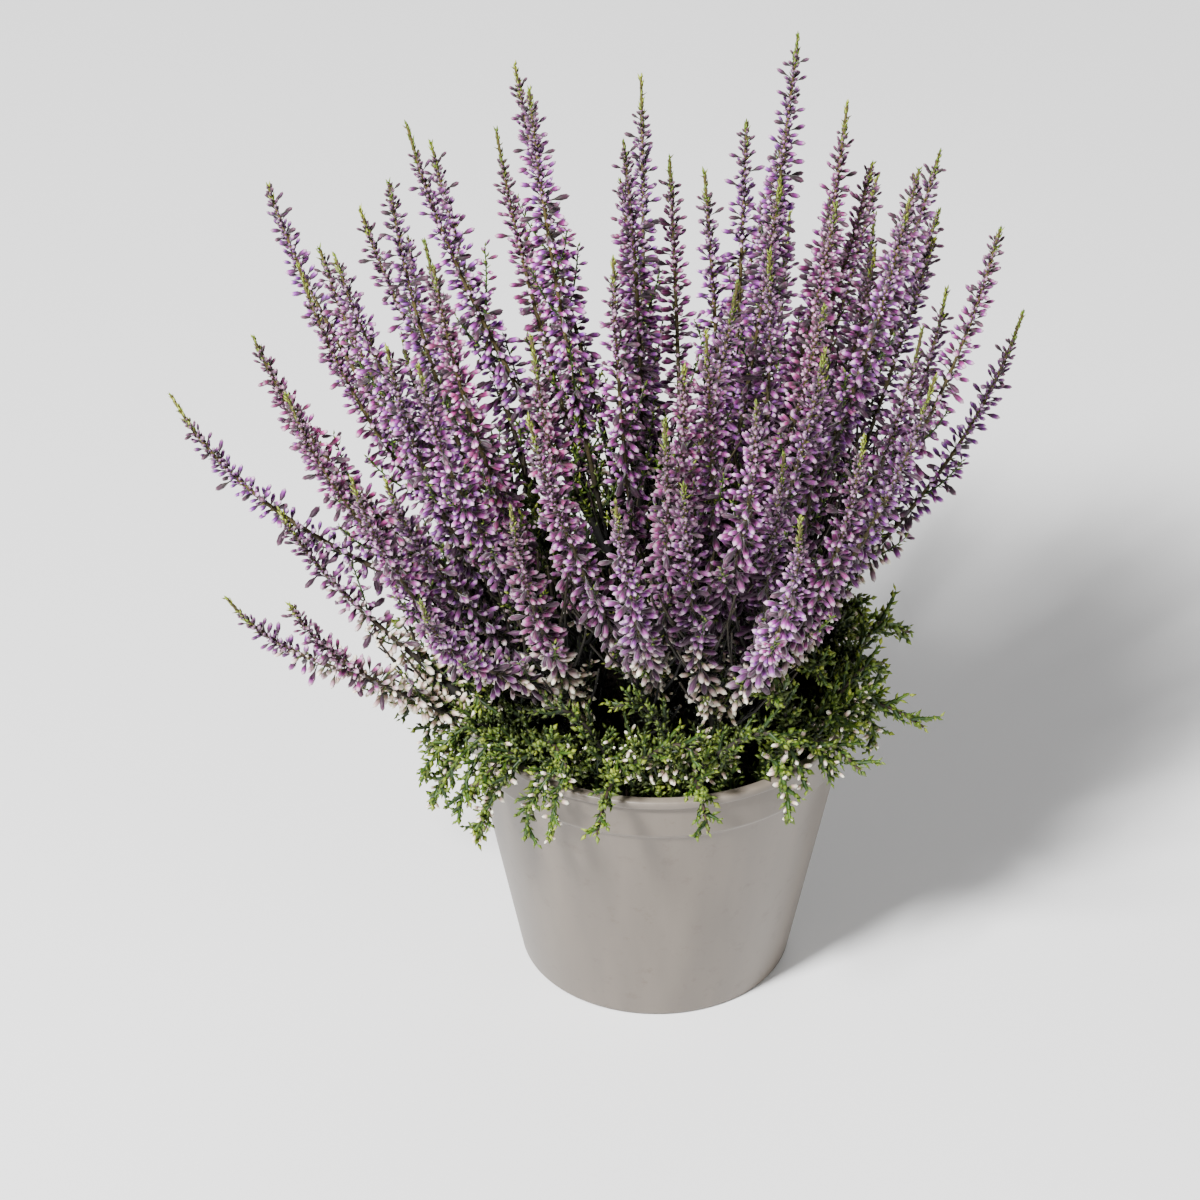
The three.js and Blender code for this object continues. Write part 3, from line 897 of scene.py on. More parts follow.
print("Inputs of a leafy stem:", len(stems_tree.interface.items_tree) - 1)

# %% Put a finished piece in its place
placed = []


def triangles(mesh):
    return sum(len(face.vertices) - 2 for face in mesh.polygons)


def triangles_so_far():
    return sum(triangles(piece.data) for piece in placed)


def place_piece(name, mesh, slot, *nodes):
    """Puts a finished mesh in the scene, in the place of the nodes that it stands for."""
    mesh.name = name
    piece = in_scene(name, mesh)
    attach(piece, "root")
    if nodes:
        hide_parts(*nodes)
    placed.append(piece)


print("Ready to grow", len(spray_paths), "sprays")

# %% [markdown]
# ## Finish of the buds
#
# A closed bud is deep mauve at its neck and fades to a pale, almost white end. The dark neck is
# partly the bud's own colour and partly painted shade, and the pale end is partly its own colour
# and partly a painted highlight. No two spikes have quite the same colour: some are pinker, some
# bluer. The young buds at the top stay dark, and the ones low down, near the soil, are creamy. The
# finish mixes these from the values that each bud carries: `tip` along its own length, a random
# `tone`, the `blush` of its spike, `along` up the spike and the `light` that reaches it, with which
# it paints shade.


# %% A helper for finishes
def new_finish(name):
    """A material with an empty recipe, its surface shader and an Object coordinate."""
    material = bpy.data.materials.new(name)
    material.use_nodes = True
    recipe = Recipe(material.node_tree)
    shader = material.node_tree.nodes["Principled BSDF"]
    place = recipe.add("ShaderNodeTexCoord").outputs["Object"]
    return material, recipe, shader, place


def carried(recipe, name):
    """A value that the mesh carries."""
    return recipe.add("ShaderNodeAttribute", attribute_name=name).outputs["Fac"]


def ramp(recipe, value, *stops):
    """Blends colours along a value: each stop is a place from 0 to 1 and a colour."""
    node = recipe.add("ShaderNodeValToRGB", {0: value})
    elements = node.color_ramp.elements
    while len(elements) < len(stops):
        elements.new(0.5)
    for element, (position, colour) in zip(elements, stops):
        element.position = position
        element.color = colour
    return node.outputs[0]


def patches(recipe, place, scale, detail=2.0, roughness=0.5):
    """Soft random patches, from 0 to 1."""
    feeds = {"Vector": place, "Scale": scale, "Detail": detail, "Roughness": roughness}
    return recipe.add("ShaderNodeTexNoise", feeds).outputs[0]


def stretch(recipe, value, low, high):
    """The share of the way from low to high, kept within 0 and 1."""
    return recipe.add("ShaderNodeMapRange", {0: value, 1: low, 2: high}).outputs[0]


def height_of(recipe, place):
    return recipe.add("ShaderNodeSeparateXYZ", {0: place}).outputs[2]


def off_axis(recipe, place):
    """How far a place is from the pot's axis."""
    feeds = {0: place, 1: (1, 1, 0)}
    flat = recipe.add("ShaderNodeVectorMath", feeds, operation="MULTIPLY").outputs[0]
    return recipe.add("ShaderNodeVectorMath", {0: flat}, operation="LENGTH").outputs[1]


def shaded(recipe, colour, dark, darkest, brightest):
    """Darkens a colour where little light reaches it, between two values of that light."""
    return recipe.mix(stretch(recipe, carried(recipe, "light"), darkest, brightest), dark, colour)


def weighed(recipe, *values, start=0.0):
    """A start plus several values, each given with its weight."""
    total = start
    for value, weight in values:
        total = recipe.sum("ADD", recipe.sum("MULTIPLY", value, weight), total)
    return total


def coat(recipe, shader, colour, roughness):
    """Wires a finish's colour and its roughness, which says how matt it is."""
    recipe.tree.links.new(colour, shader.inputs["Base Color"])
    recipe.tree.links.new(roughness, shader.inputs["Roughness"])


def bumped(recipe, shader, height, strength, distance):
    feeds = {"Strength": strength, "Distance": distance, "Height": height}
    recipe.tree.links.new(recipe.add("ShaderNodeBump", feeds).outputs[0], shader.inputs["Normal"])


# %% The colours of a bud, from its stalk to its tip
def shades(*stops):
    """Stops of a ramp, each given as a place from 0 to 1 and a chart colour."""
    return [(position, paint(*colour)) for position, colour in stops]


# Each ramp runs from stalk to tip. Its dark neck is partly the stalk's own colour and partly painted
# shade, and its pale end is partly the bud's paler tip and partly a painted highlight.
lilac_bud = shades(
    (0.0, (36, 30, 8)), (0.22, (48, 6, 42)), (0.48, (94, 10, 118)), (0.68, (158, 54, 196)),
    (0.88, (252, 212, 250)),
)
rosy_bud = shades(
    (0.0, (40, 28, 8)), (0.22, (62, 5, 32)), (0.48, (128, 10, 82)), (0.68, (204, 56, 148)),
    (0.88, (255, 214, 232)),
)
deep_bud = shades(
    (0.0, (28, 28, 8)), (0.4, (34, 12, 22)), (0.75, (66, 28, 50)), (1.0, (140, 92, 118)),
)
creamy_bud = shades(
    (0.0, (40, 70, 8)), (0.25, (84, 96, 24)), (0.5, (206, 170, 160)), (0.8, (250, 244, 216)),
    (1.0, (255, 255, 244)),
)
LILAC_SHADE = paint(46, 2, 40)
CREAMY_SHADE = paint(66, 70, 14)
print("Kinds of buds:", len([lilac_bud, rosy_bud, deep_bud, creamy_bud]))


# %% The buds' finish
DEEP_FROM = 0.6
LILAC_ABOVE = 0.176
CREAMY_BELOW = 0.16


def bud_finish():
    """Lilac to rosy buds, deep ones high on a spike and here and there, creamy ones low down.

    The two heights are in metres, as Object coordinates are, and rise towards the outside.
    """
    material, recipe, shader, place = new_finish("heather_bud")
    tip, tone, along, blush = (carried(recipe, key) for key in ("tip", "tone", "along", "blush"))
    pinkness = weighed(recipe, (blush, 0.7), (tone, 0.6), start=-0.2)
    colour = recipe.mix(pinkness, ramp(recipe, tip, *lilac_bud), ramp(recipe, tip, *rosy_bud))
    now_and_then = stretch(recipe, tone, 0.9, 0.91)
    deep = recipe.sum("ADD", stretch(recipe, along, DEEP_FROM, 1.0), now_and_then)
    deep = recipe.sum("MINIMUM", deep, 1.0)
    colour = recipe.mix(deep, colour, ramp(recipe, tip, *deep_bud))
    # Painted shade: darker where little light reaches the bud.
    colour = shaded(recipe, colour, LILAC_SHADE, 0.4, 0.84)
    height, outside = height_of(recipe, place), off_axis(recipe, place)
    patch = patches(recipe, place, 40.0)
    height = weighed(recipe, (outside, 0.4), (patch, 0.03), (tone, 0.03), start=height)
    low = stretch(recipe, height, LILAC_ABOVE, CREAMY_BELOW)
    # The creamy buds get painted shade too, but less of it.
    creamy = shaded(recipe, ramp(recipe, tip, *creamy_bud), CREAMY_SHADE, 0.14, 0.44)
    coat(recipe, shader, recipe.mix(low, colour, creamy), from_to(recipe, tip, 0.75, 0.5))
    shader.inputs["Sheen Weight"].default_value = 0.25
    return material


bud_look = bud_finish()
print("Nodes in the buds' finish:", len(bud_look.node_tree.nodes))

# %% [markdown]
# ## Finishes of leaves and bark
#
# Heather leaves are small, a little glossy, and range from dark green on old growth to yellow green
# at the growing tips; deep in the bush they are painted nearly black as shade. The tiny leaves
# between the buds are brownish. The bark is brown and matt low down, and turns olive where the stem
# is young, and it too is painted darker as shade where little light reaches it.


# %% The finishes of leaves and bark
LEAF_SHADE = paint(8, 13, 3)
BARK_SHADE = paint(7, 6, 4)
YOUNG_WOOD_FROM = 0.09
YOUNG_WOOD_TO = 0.15


def leaf_finish(name, oldest, older, younger, freshest):
    """Leaves in four shades, which a leaf's age and a bit of chance choose from."""
    material, recipe, shader, place = new_finish(name)
    tip, tone, along, blush = (carried(recipe, key) for key in ("tip", "tone", "along", "blush"))
    patch = patches(recipe, place, 60.0)
    fresh = weighed(recipe, (tone, 0.25), (blush, 0.3), (along, 0.35), (patch, 0.25))
    stops = shades((0.1, oldest), (0.42, older), (0.72, younger), (1.0, freshest))
    green = ramp(recipe, fresh, *stops)
    colour = recipe.mix(recipe.sum("MULTIPLY", tip, 0.3), green, paint(*freshest))
    # Painted shade: nearly black where little light reaches the leaf.
    colour = shaded(recipe, colour, LEAF_SHADE, 0.26, 0.66)
    coat(recipe, shader, colour, from_to(recipe, patches(recipe, place, 400.0), 0.42, 0.68))
    return material


def bark_finish():
    """Brown bark that turns olive between two heights, given in metres."""
    material, recipe, shader, place = new_finish("heather_bark")
    young = stretch(recipe, height_of(recipe, place), YOUNG_WOOD_FROM, YOUNG_WOOD_TO)
    fibres = patches(recipe, place, 900.0, detail=4.0)
    brown = ramp(recipe, fibres, *shades((0.3, (44, 30, 18)), (0.7, (84, 60, 38))))
    olive = ramp(recipe, fibres, *shades((0.3, (54, 46, 18)), (0.7, (98, 84, 34))))
    # Painted shade: nearly black where little light reaches the bark.
    colour = shaded(recipe, recipe.mix(young, brown, olive), BARK_SHADE, 0.4, 0.9)
    coat(recipe, shader, colour, from_to(recipe, fibres, 0.6, 0.85))
    bumped(recipe, shader, fibres, 0.4, 0.0002)
    return material


leaf_look = leaf_finish("heather_leaf", (14, 28, 4), (32, 60, 6), (72, 104, 12), (160, 172, 50))
bract_look = leaf_finish("heather_bract", (34, 22, 12), (54, 40, 20), (74, 66, 26), (128, 144, 44))
bark_look = bark_finish()
print("Finishes:", bud_look.name, leaf_look.name, bract_look.name, bark_look.name)

# %% [markdown]
# ## Side shoots
#
# Below its flowers a heather stem carries short leafy shoots, and they fill the bush with green.
# A shoot leaves its stem at an angle and curls up. Shoots follow the same spiral as the buds, but
# each has its own length, and none may pass through the pot or the soil, so they are made in
# Python, where such a test is easy.

# %% Side shoots
SOIL_CLEARANCE = 1.5
POT_CLEARANCE = 1.2
NO_STEM_RUNS_THIS_WAY = [0.3, 0.2, 0.93]
SHOOT_TURN_SPREAD = 0.4
SHOOT_SIZES = (0.6, 1.15)
SHOOT_SLOWING = 0.25
SHOOT_CURL = 0.22
UPRIGHT = np.array([0, 0, 1])
shoot_random = np.random.default_rng(21)


def is_clear(points):
    """True where a shoot touches neither the soil nor the pot."""
    radius = np.hypot(points[:, 0], points[:, 1])
    over_soil = (radius < COLLAR_RADIUS) & (points[:, 2] < SOIL_TOP + SOIL_CLEARANCE)
    on_floor = points[:, 2] < SOIL_CLEARANCE
    near_pot = from_pot(points)[0].min() < POT_CLEARANCE
    return not (over_soil.any() or on_floor.any() or near_pot)


def place_on(path, distance):
    """The place and the heading at a distance along a path."""
    far = distances(path)
    at = np.array([np.interp(distance, far, path[:, axis]) for axis in range(3)])
    ahead = np.array([np.interp(distance + 1, far, path[:, axis]) for axis in range(3)])
    behind = np.array([np.interp(distance - 1, far, path[:, axis]) for axis in range(3)])
    return at, unit(ahead - behind)


def side_shoots(path, first, last, gap, length, lean, points=4):
    """Short curved shoots on a path between two distances, each as its points."""
    shoots = []
    spin = shoot_random.uniform(0, 2 * math.pi)
    for order, distance in enumerate(np.arange(first, last, gap)):
        at, heading = place_on(path, distance)
        across = unit(np.cross(heading, NO_STEM_RUNS_THIS_WAY))
        angle = spin + order * GOLDEN_ANGLE
        angle += shoot_random.uniform(-SHOOT_TURN_SPREAD, SHOOT_TURN_SPREAD)
        side = across * math.cos(angle) + np.cross(heading, across) * math.sin(angle)
        size = length * shoot_random.uniform(*SHOOT_SIZES)
        away = heading * math.cos(lean) + side * math.sin(lean)
        t = np.linspace(0, 1, points)[:, None]
        curl = (heading + UPRIGHT) * SHOOT_CURL
        shoot = at + size * (away * t * (1 - SHOOT_SLOWING * t) + curl * t**2)
        if is_clear(shoot):
            shoots.append(shoot)
    return shoots


def taper(path, low, high):
    """Values that run evenly from one at a path's foot to one at its tip."""
    return np.linspace(low, high, len(path))


def plain_run(path, thick, fullness, along=None):
    """A path with the values that its points carry, each given at its foot and at its tip."""
    run = {"points": path, "thick": taper(path, *thick), "fullness": taper(path, *fullness)}
    run["blush"] = shoot_random.uniform()
    if along:
        run["along"] = taper(path, *along)
    return run


print("Shoots on the first stem:", len(side_shoots(spray_paths[0][0], 20, 60, 3, 10, 0.9)))

# %% [markdown]
# ## Flowering sprays
#
# Each spray of the frame becomes two pieces. One holds its buds: along each spike, low buds hang a
# little and high ones point up, then come young buds like beads, close to the stem. They stand in
# loose rings, so a spike is knobbly. Well-grown spikes also carry a few short side sprigs. The
# other piece holds the stems, the tiny leaves between the buds, the leafy tips, the green shoots
# below the flowers, and the bare old twigs that make the inside of a bush so dense.

# %% Settings of the sprays
BLOOM_LENGTH = 92
BLOOM_START = 10
YOUNG_LENGTH = 30
LEAFY_TIPS = (2, 11)
RING_GAP = 3.6
RING_DEPTH = 0.14
SPRIG_GAP = 12
SPRIG_LENGTH = 16
SPRIG_LEAN = math.radians(34)
OLD_TWIG_GAP = 2.2
OLD_TWIG_LENGTH = 24
OLD_TWIG_LIGHT = 0.56
OLD_TWIG_LEAN = 0.6
SHOOT_GAP = 3.4
SHOOT_LENGTH = 10
SHOOT_LEAN = 0.95
OUTER_GAP = 1.0
INNER_GAP = 0.86
YOUNG_GAP = 0.42

bud_settings = {
    "Shape": long_bud,
    "Spacing": OUTER_GAP * MM,
    "Turn": GOLDEN_ANGLE,
    "Angle at Foot": math.radians(112),
    "Angle at Tip": math.radians(50),
    "Angle Spread": 0.32,
    "Hang": 0.3,
    "Size at Foot": 1.16,
    "Size at Tip": 1.0,
    "Size Spread": 0.18,
    "Material": bud_look,
}
inner_buds = bud_settings | {
    "Shape": short_bud,
    "Spacing": INNER_GAP * MM,
    "Turn": -GOLDEN_ANGLE,
}
sprig_buds = bud_settings | {"Shape": short_bud, "Spacing": 1.15 * MM}
young_buds = bud_settings | {
    "Shape": young_bud,
    "Spacing": YOUNG_GAP * MM,
    "Angle at Foot": math.radians(58),
    "Angle at Tip": math.radians(38),
    "Hang": 0.0,
    "Size at Foot": 1.1,
    "Size at Tip": 0.9,
}
leaf_settings = {
    "Shape": scale_leaf,
    "Spacing": 1.0 * MM,
    "Turn": GOLDEN_ANGLE,
    "Angle at Foot": math.radians(50),
    "Angle at Tip": math.radians(24),
    "Angle Spread": 0.25,
    "Hang": 0.0,
    "Size at Foot": 1.1,
    "Size at Tip": 1.0,
    "Size Spread": 0.25,
    "Material": leaf_look,
    "Sides": 3,
    "Bark": leaf_look,
}
stem_leaves = leaf_settings | {"Material": bract_look, "Sides": 6, "Bark": bark_look}
twig_bark = leaf_settings | {"Bark": bark_look}
tip_leaves = leaf_settings | {
    "Spacing": 0.36 * MM,
    "Angle at Foot": math.radians(22),
    "Angle at Tip": math.radians(12),
}
full_spike = BLOOM_LENGTH / OUTER_GAP + BLOOM_LENGTH / INNER_GAP + YOUNG_LENGTH / YOUNG_GAP
print("Buds on a full spike:", round(full_spike))


# %% The parts of a spike
def knobbly(path, stops, sizes):
    """Sizes along a path that also swell and shrink from ring to ring."""
    far = distances(path)
    rings = np.sin(far * 2 * math.pi / RING_GAP + shoot_random.uniform(0, 2 * math.pi))
    return np.interp(far / far[-1], stops, sizes) * (1 + RING_DEPTH * rings)


def spike_flowers(path, start, end):
    """The run that carries a spike's buds, which are fullest in its lower half."""
    bloom = piece_of(path, start, end, step=1.0)
    run = plain_run(bloom, (1, 1), (1, 1))
    run["fullness"] = knobbly(bloom, [0, 0.15, 0.6, 0.85, 1], [0.8, 1.06, 1.04, 0.9, 0.65])
    return run


def young_flowers(path, end, blush):
    """The run of bead-like buds at a spike's top."""
    top = piece_of(path, end - YOUNG_LENGTH, end + 1.5, step=1.0)
    run = plain_run(top, (1, 1), (1, 1))
    run["along"] = taper(top, 0.8, 1)
    run["blush"] = blush
    run["fullness"] = knobbly(top, [0, 0.4, 1], [0.7, 1.1, 0.8])
    return run


def spike_stem(path, start, end):
    """A spike's stem, with tiny leaves from where its buds begin."""
    path = piece_of(path, 0, distances(path)[-1], step=4.0)
    far = distances(path)
    run = plain_run(path, (1, 1), (1, 1), (0, 0.5))
    run["thick"] = np.interp(far / far[-1], [0, 0.35, 0.8, 1], [STEM_RADIUS, 0.7, 0.45, 0.35])
    leafy_from = [0, start - 6, start + 4, end, far[-1]]
    run["fullness"] = np.interp(far, leafy_from, [0, 0, 0.8, 0.8, 0.6])
    return run


def grow_spike(path, soil, runs):
    """Adds the runs of one spike to the runs of its spray."""
    total = distances(path)[-1]
    end = total - shoot_random.uniform(*LEAFY_TIPS)
    start = max(soil + BLOOM_START, end - BLOOM_LENGTH)
    flowers = spike_flowers(path, start, end)
    runs["flowers"].append(flowers)
    runs["young"].append(young_flowers(path, end, flowers["blush"]))
    runs["stems"].append(spike_stem(path, start, end))
    tip = piece_of(path, end - 3, total, step=1.0)
    runs["tips"].append(plain_run(tip, (0.5, 0.3), (0.9, 0.8), (0.6, 1)))
    middle = (start + end) / 2
    sprigs = side_shoots(path, start + 8, middle, SPRIG_GAP, SPRIG_LENGTH, SPRIG_LEAN, points=6)
    for sprig in sprigs:
        runs["sprigs"].append(plain_run(sprig, (1, 1), (0.95, 0.75), (0.3, 0.9)))
        runs["shoots"].append(plain_run(sprig, (0.35, 0.2), (0.6, 0.7), (0.1, 0.5)))
    for shoot in side_shoots(path, soil + 5, start + 12, SHOOT_GAP, SHOOT_LENGTH, SHOOT_LEAN):
        runs["shoots"].append(plain_run(shoot, (0.4, 0.2), (1, 0.85)))
    old_wood = side_shoots(path, soil + 8, middle, OLD_TWIG_GAP, OLD_TWIG_LENGTH, OLD_TWIG_LEAN)
    for twig in old_wood:
        if light_at(twig).max() < OLD_TWIG_LIGHT:
            runs["twigs"].append(plain_run(twig, (0.55, 0.3), (0, 0)))


# %% Grow the sprays
def grown(tree, name, runs, settings, seed):
    """What a tree grows on some runs, as a list of one mesh, or an empty list without runs."""
    return [run_tree(tree, guide_mesh(name, runs), settings | {"Seed": seed})] if runs else []


# What grows on each kind of run, and for buds a number that is added to the spray's seed.
SPRAY_BUDS = (
    ("flowers", bud_settings, 0), ("flowers", inner_buds, 50), ("sprigs", sprig_buds, 0),
    ("young", young_buds, 0),
)
SPRAY_GREEN = (
    ("stems", stem_leaves), ("twigs", twig_bark), ("tips", tip_leaves), ("shoots", leaf_settings),
)


def grow_spray(number, paths):
    node = f"flowering_spray_{number + 1:02d}"
    runs = {key: [] for key in ("flowers", "young", "sprigs", "stems", "tips", "shoots", "twigs")}
    for i, path in enumerate(paths):
        grow_spike(path, HOLE_DEPTH if i == 0 else 0, runs)
    buds = []
    for key, settings, extra in SPRAY_BUDS:
        buds += grown(copies_tree, node, runs[key], settings, number + extra)
    place_piece(f"flower_buds_{number + 1:02d}", joined(buds), "flower_buds", node)
    green = []
    for key, settings in SPRAY_GREEN:
        green += grown(stems_tree, node, runs[key], settings, number)
    place_piece(f"leafy_stems_{number + 1:02d}", joined(green), "leaves", node)


for number, paths in enumerate(spray_paths):
    grow_spray(number, paths)
buds_made = sum(triangles(p.data) for p in placed if p.name.startswith("flower"))
print("Triangles in the buds:", buds_made)
print("Triangles so far:", triangles_so_far())

# %% [markdown]
# ## Leafy tufts
#
# Round the foot of the plant, young shoots without flowers fill the pot to its edge and hang over
# it. They have the longest and brightest leaves, and some of them carry a few creamy buds. The
# frame gives each tuft three twigs. Here every twig gets side shoots and, round its foot, a few low
# shoots that stand in the soil. Between the twigs, a fringe of short shoots leans out over the rim.
# It hangs lowest at the left, where the plant leans, and stays inside the rim at the front.

# %% Settings of the tufts
# The three numbers of a kind of side shoot are its gap, its length and how far it leans.
tuft_settings = leaf_settings | {
    "Shape": soft_leaf,
    "Spacing": 0.9 * MM,
    "Angle at Foot": math.radians(46),
    "Angle at Tip": math.radians(28),
    "Size at Foot": 1.05,
    "Size at Tip": 0.9,
}
twig_settings = tuft_settings | {"Sides": 6, "Bark": bark_look}
low_buds = bud_settings | {"Shape": short_bud, "Spacing": 1.1 * MM}
LOW_BUD_SHARE = 0.5
LOW_SHOOTS = 9
LOW_SHOOT_SPREAD = 11
LOW_SHOOT_SIZES = (14, 26)
FRINGE_SHOOTS = 8
FRINGE_REACH = (6, 15)
FRINGE_HEIGHT = (-5, 8)
FRONT = -math.pi / 2
FRONT_GAP = 0.45
FRONT_REACH = (-2, 4)
FRONT_HEIGHT = (4, 12)
LOW_LEFT = math.radians(-140)
LOW_LEFT_WIDTH = 0.75
LOW_LEFT_REACH = 12
LOW_LEFT_FALL = 14
FRINGE_FOOT_CIRCLE = 46.3
FRINGE_TOP_CIRCLE = 46
FRINGE_TOP_HEIGHT = (13, 18)
FRINGE_END_CIRCLE = 47
TWIG_SHOOTS = (2.6, 7.5, 0.8)
LOW_TWIG_SHOOTS = (3.2, 6, 0.8)
LOW_BUD_SEED = 7


def low_shoots(path):
    """Shoots that stand in the soil near the foot of a tuft's leading twig."""
    foot = path[0]
    shoots = []
    for _ in range(LOW_SHOOTS):
        aside = shoot_random.uniform(-LOW_SHOOT_SPREAD, LOW_SHOOT_SPREAD, 2)
        start = foot + np.array([*aside, 0])
        start[2] = SOIL_TOP + SOIL_CLEARANCE + 0.1
        lean = shoot_random.uniform(-0.5, 0.5, 2) + unit(foot[:2]) * 0.3
        size = shoot_random.uniform(*LOW_SHOOT_SIZES)
        t = np.linspace(0, 1, 7)[:, None]
        shoot = start + size * (np.array([*lean, 0.4]) * t + 0.5 * UPRIGHT * t**2)
        if is_clear(shoot):
            shoot[0, 2] = SOIL_TOP - 2
            shoots.append(shoot)
    return shoots


def angle_apart(one, other):
    """How far two directions are apart, from 0 to pi."""
    return abs((one - other + math.pi) % (2 * math.pi) - math.pi)


def fringe(middle):
    """Shoots that lean over the rim on both sides of a tuft, as far as its neighbours."""
    shoots = []
    half = math.pi / RIM_TUFTS
    for share in np.linspace(-1, 1, FRINGE_SHOOTS):
        angle = middle + share * half + shoot_random.uniform(-0.06, 0.06)
        lowness = max(0, 1 - angle_apart(angle, LOW_LEFT) / LOW_LEFT_WIDTH)
        reach = shoot_random.uniform(*FRINGE_REACH) + LOW_LEFT_REACH * lowness
        height = shoot_random.uniform(*FRINGE_HEIGHT) - LOW_LEFT_FALL * lowness
        if angle_apart(angle, FRONT) < FRONT_GAP:
            reach = shoot_random.uniform(*FRONT_REACH)
            height = shoot_random.uniform(*FRONT_HEIGHT)
        start = around(FRINGE_FOOT_CIRCLE, angle, SOIL_TOP - 1)
        top = POT_HEIGHT + shoot_random.uniform(*FRINGE_TOP_HEIGHT)
        over = around(FRINGE_TOP_CIRCLE, angle, top)
        turn = angle + shoot_random.uniform(-0.12, 0.12)
        end = around(FRINGE_END_CIRCLE + reach, turn, POT_HEIGHT + height)
        shoulder_height = POT_HEIGHT + max(height, 0) * 0.5 + 11
        shoulder = around(FRINGE_END_CIRCLE + 0.8 * reach, angle, shoulder_height)
        shoot = bezier(start, over, shoulder, end, 9)
        if is_clear(shoot[2:]):
            shoots.append(shoot)
    return shoots


print("Shoots in the fringe of one tuft:", len(fringe(LOW_LEFT)))


# %% Grow the tufts
def grow_tuft(number, paths, low_flowers):
    node = f"leafy_tuft_{number + 1:02d}"
    twigs = []
    shoots = []
    for i, path in enumerate(paths):
        far = distances(path)
        soil = HOLE_DEPTH if i == 0 else 0
        twig = plain_run(path, (1.0, 0.35), (1, 1))
        twig["fullness"] = np.interp(far, [0, soil + 2, soil + 8, far[-1]], [0, 0, 1, 0.9])
        twigs.append(twig)
        shoots += side_shoots(path, soil + 4, far[-1] - 2, *TWIG_SHOOTS, points=3)
    low = low_shoots(paths[0])
    if number < RIM_TUFTS:
        foot = paths[0][0]
        low += fringe(math.atan2(foot[1], foot[0]))
    for path in low:
        total = distances(path)[-1]
        shoots += side_shoots(path, 5, total - 1, *LOW_TWIG_SHOOTS, points=3)
        if shoot_random.uniform() < LOW_BUD_SHARE:
            upper = piece_of(path, total * 0.55, total)
            low_flowers.append(plain_run(upper, (1, 1), (0.9, 0.7)))
    runs = [plain_run(path, (0.9, 0.5), (1, 0.9)) for path in low]
    runs += [plain_run(path, (0.75, 0.4), (1, 0.85)) for path in shoots]
    leaves = grown(stems_tree, node, twigs, twig_settings, SPRAYS + number)
    leaves += grown(stems_tree, node, runs, tuft_settings, SPRAYS + number)
    place_piece(f"tuft_leaves_{number + 1:02d}", joined(leaves), "leaves", node)


low_flowers = []
for number, paths in enumerate(tuft_paths):
    grow_tuft(number, paths, low_flowers)
creamy_buds = grown(copies_tree, "low_buds", low_flowers, low_buds, LOW_BUD_SEED)
place_piece("low_buds", *creamy_buds, "flower_buds")
print("Triangles so far:", triangles_so_far())

# %% [markdown]
# ## Pot
#
# The pot is a thin moulding that was turned out of a round mould: a tapered wall, a stepped collar,
# a small lip, and a floor that stands on a ring. A turned shape is made from its section, spun
# round the axis. What tells a real moulding from a plain solid is its edges, so every corner of the
# section is rounded before it is spun.


# %% The pot's section
# Each point is a radius, a height and how much its corner is rounded, in millimetres.
MOST_CUT = 0.45
INSIDE_RADIUS = 49.7
pot_section = [
    (0, 0, 0), (10, 0, 0.6), (11.5, 2, 0.6), (28, 2, 0.6), (29.5, 0, 0.6), (FOOT_RADIUS, 0, 1.0),
    (49.5, 69, 0.8), (COLLAR_RADIUS, COLLAR_FOOT, 0.8), (COLLAR_RADIUS, 79.8, 0.5),
    (LIP_RADIUS, 79.8, 0.5), (LIP_RADIUS, POT_HEIGHT, 0.7), (INSIDE_RADIUS, POT_HEIGHT, 0.5),
    (INSIDE_RADIUS, COLLAR_FOOT, 0.8), (48.3, 69, 0.8), (34.8, 3.2, 1.0), (0, 3.2, 0),
]


def rounded(outline, radii, steps=3):
    """The outline with each corner cut back by its radius and rounded."""
    points = [Vector(p) for p in outline]
    fine = []
    for i, (corner, radius) in enumerate(zip(points, radii)):
        if radius == 0:
            fine.append(tuple(corner))
            continue
        before = points[i - 1] - corner
        after = points[(i + 1) % len(points)] - corner
        cut = min(radius, before.length * MOST_CUT, after.length * MOST_CUT)
        start = corner + before.normalized() * cut
        end = corner + after.normalized() * cut
        for step in range(steps + 1):
            t = step / steps
            fine.append(tuple(start * (1 - t) ** 2 + corner * 2 * t * (1 - t) + end * t**2))
    return fine


pot_outline = rounded([(r, z) for r, z, _ in pot_section], [corner for _, _, corner in pot_section])
print("Points round the pot's section:", len(pot_outline))

# %% Spin the section
POT_SIDES = 128


def kept_mesh(name, made):
    """A mesh that keeps what was made in Blender's mesh editor."""
    mesh = bpy.data.meshes.new(name)
    made.to_mesh(mesh)
    made.free()
    return mesh


def turned_mesh(name, outline, sides):
    """An outline of (radius, height) points spun round Z. Each point on the axis stays one."""
    made = bmesh.new()
    rings = []
    for radius, height in outline:
        if radius < 1e-6:
            rings.append([made.verts.new((0, 0, height * MM))] * sides)
            continue
        angles = [2 * math.pi * i / sides for i in range(sides)]
        ring = [(radius * MM * math.cos(a), radius * MM * math.sin(a), height * MM) for a in angles]
        rings.append([made.verts.new(p) for p in ring])
    for low, high in zip(rings, rings[1:]):
        for i in range(sides):
            j = (i + 1) % sides
            corners = dict.fromkeys([low[i], low[j], high[j], high[i]])
            if len(corners) > 2:
                made.faces.new(corners)
    mesh = kept_mesh(name, made)
    mesh.shade_smooth()
    return mesh


pot_blank = in_scene("pot_blank", turned_mesh("pot_blank", pot_outline, POT_SIDES))
print("Faces of the pot before drilling:", len(pot_blank.data.polygons))

# %% Drill the drain holes
DRAIN_HOLES = 6
DRAIN_RADIUS = 3
DRAIN_CIRCLE = 20
PIN_SIDES = 24
PIN_LENGTH = 12
PIN_MIDDLE = 2

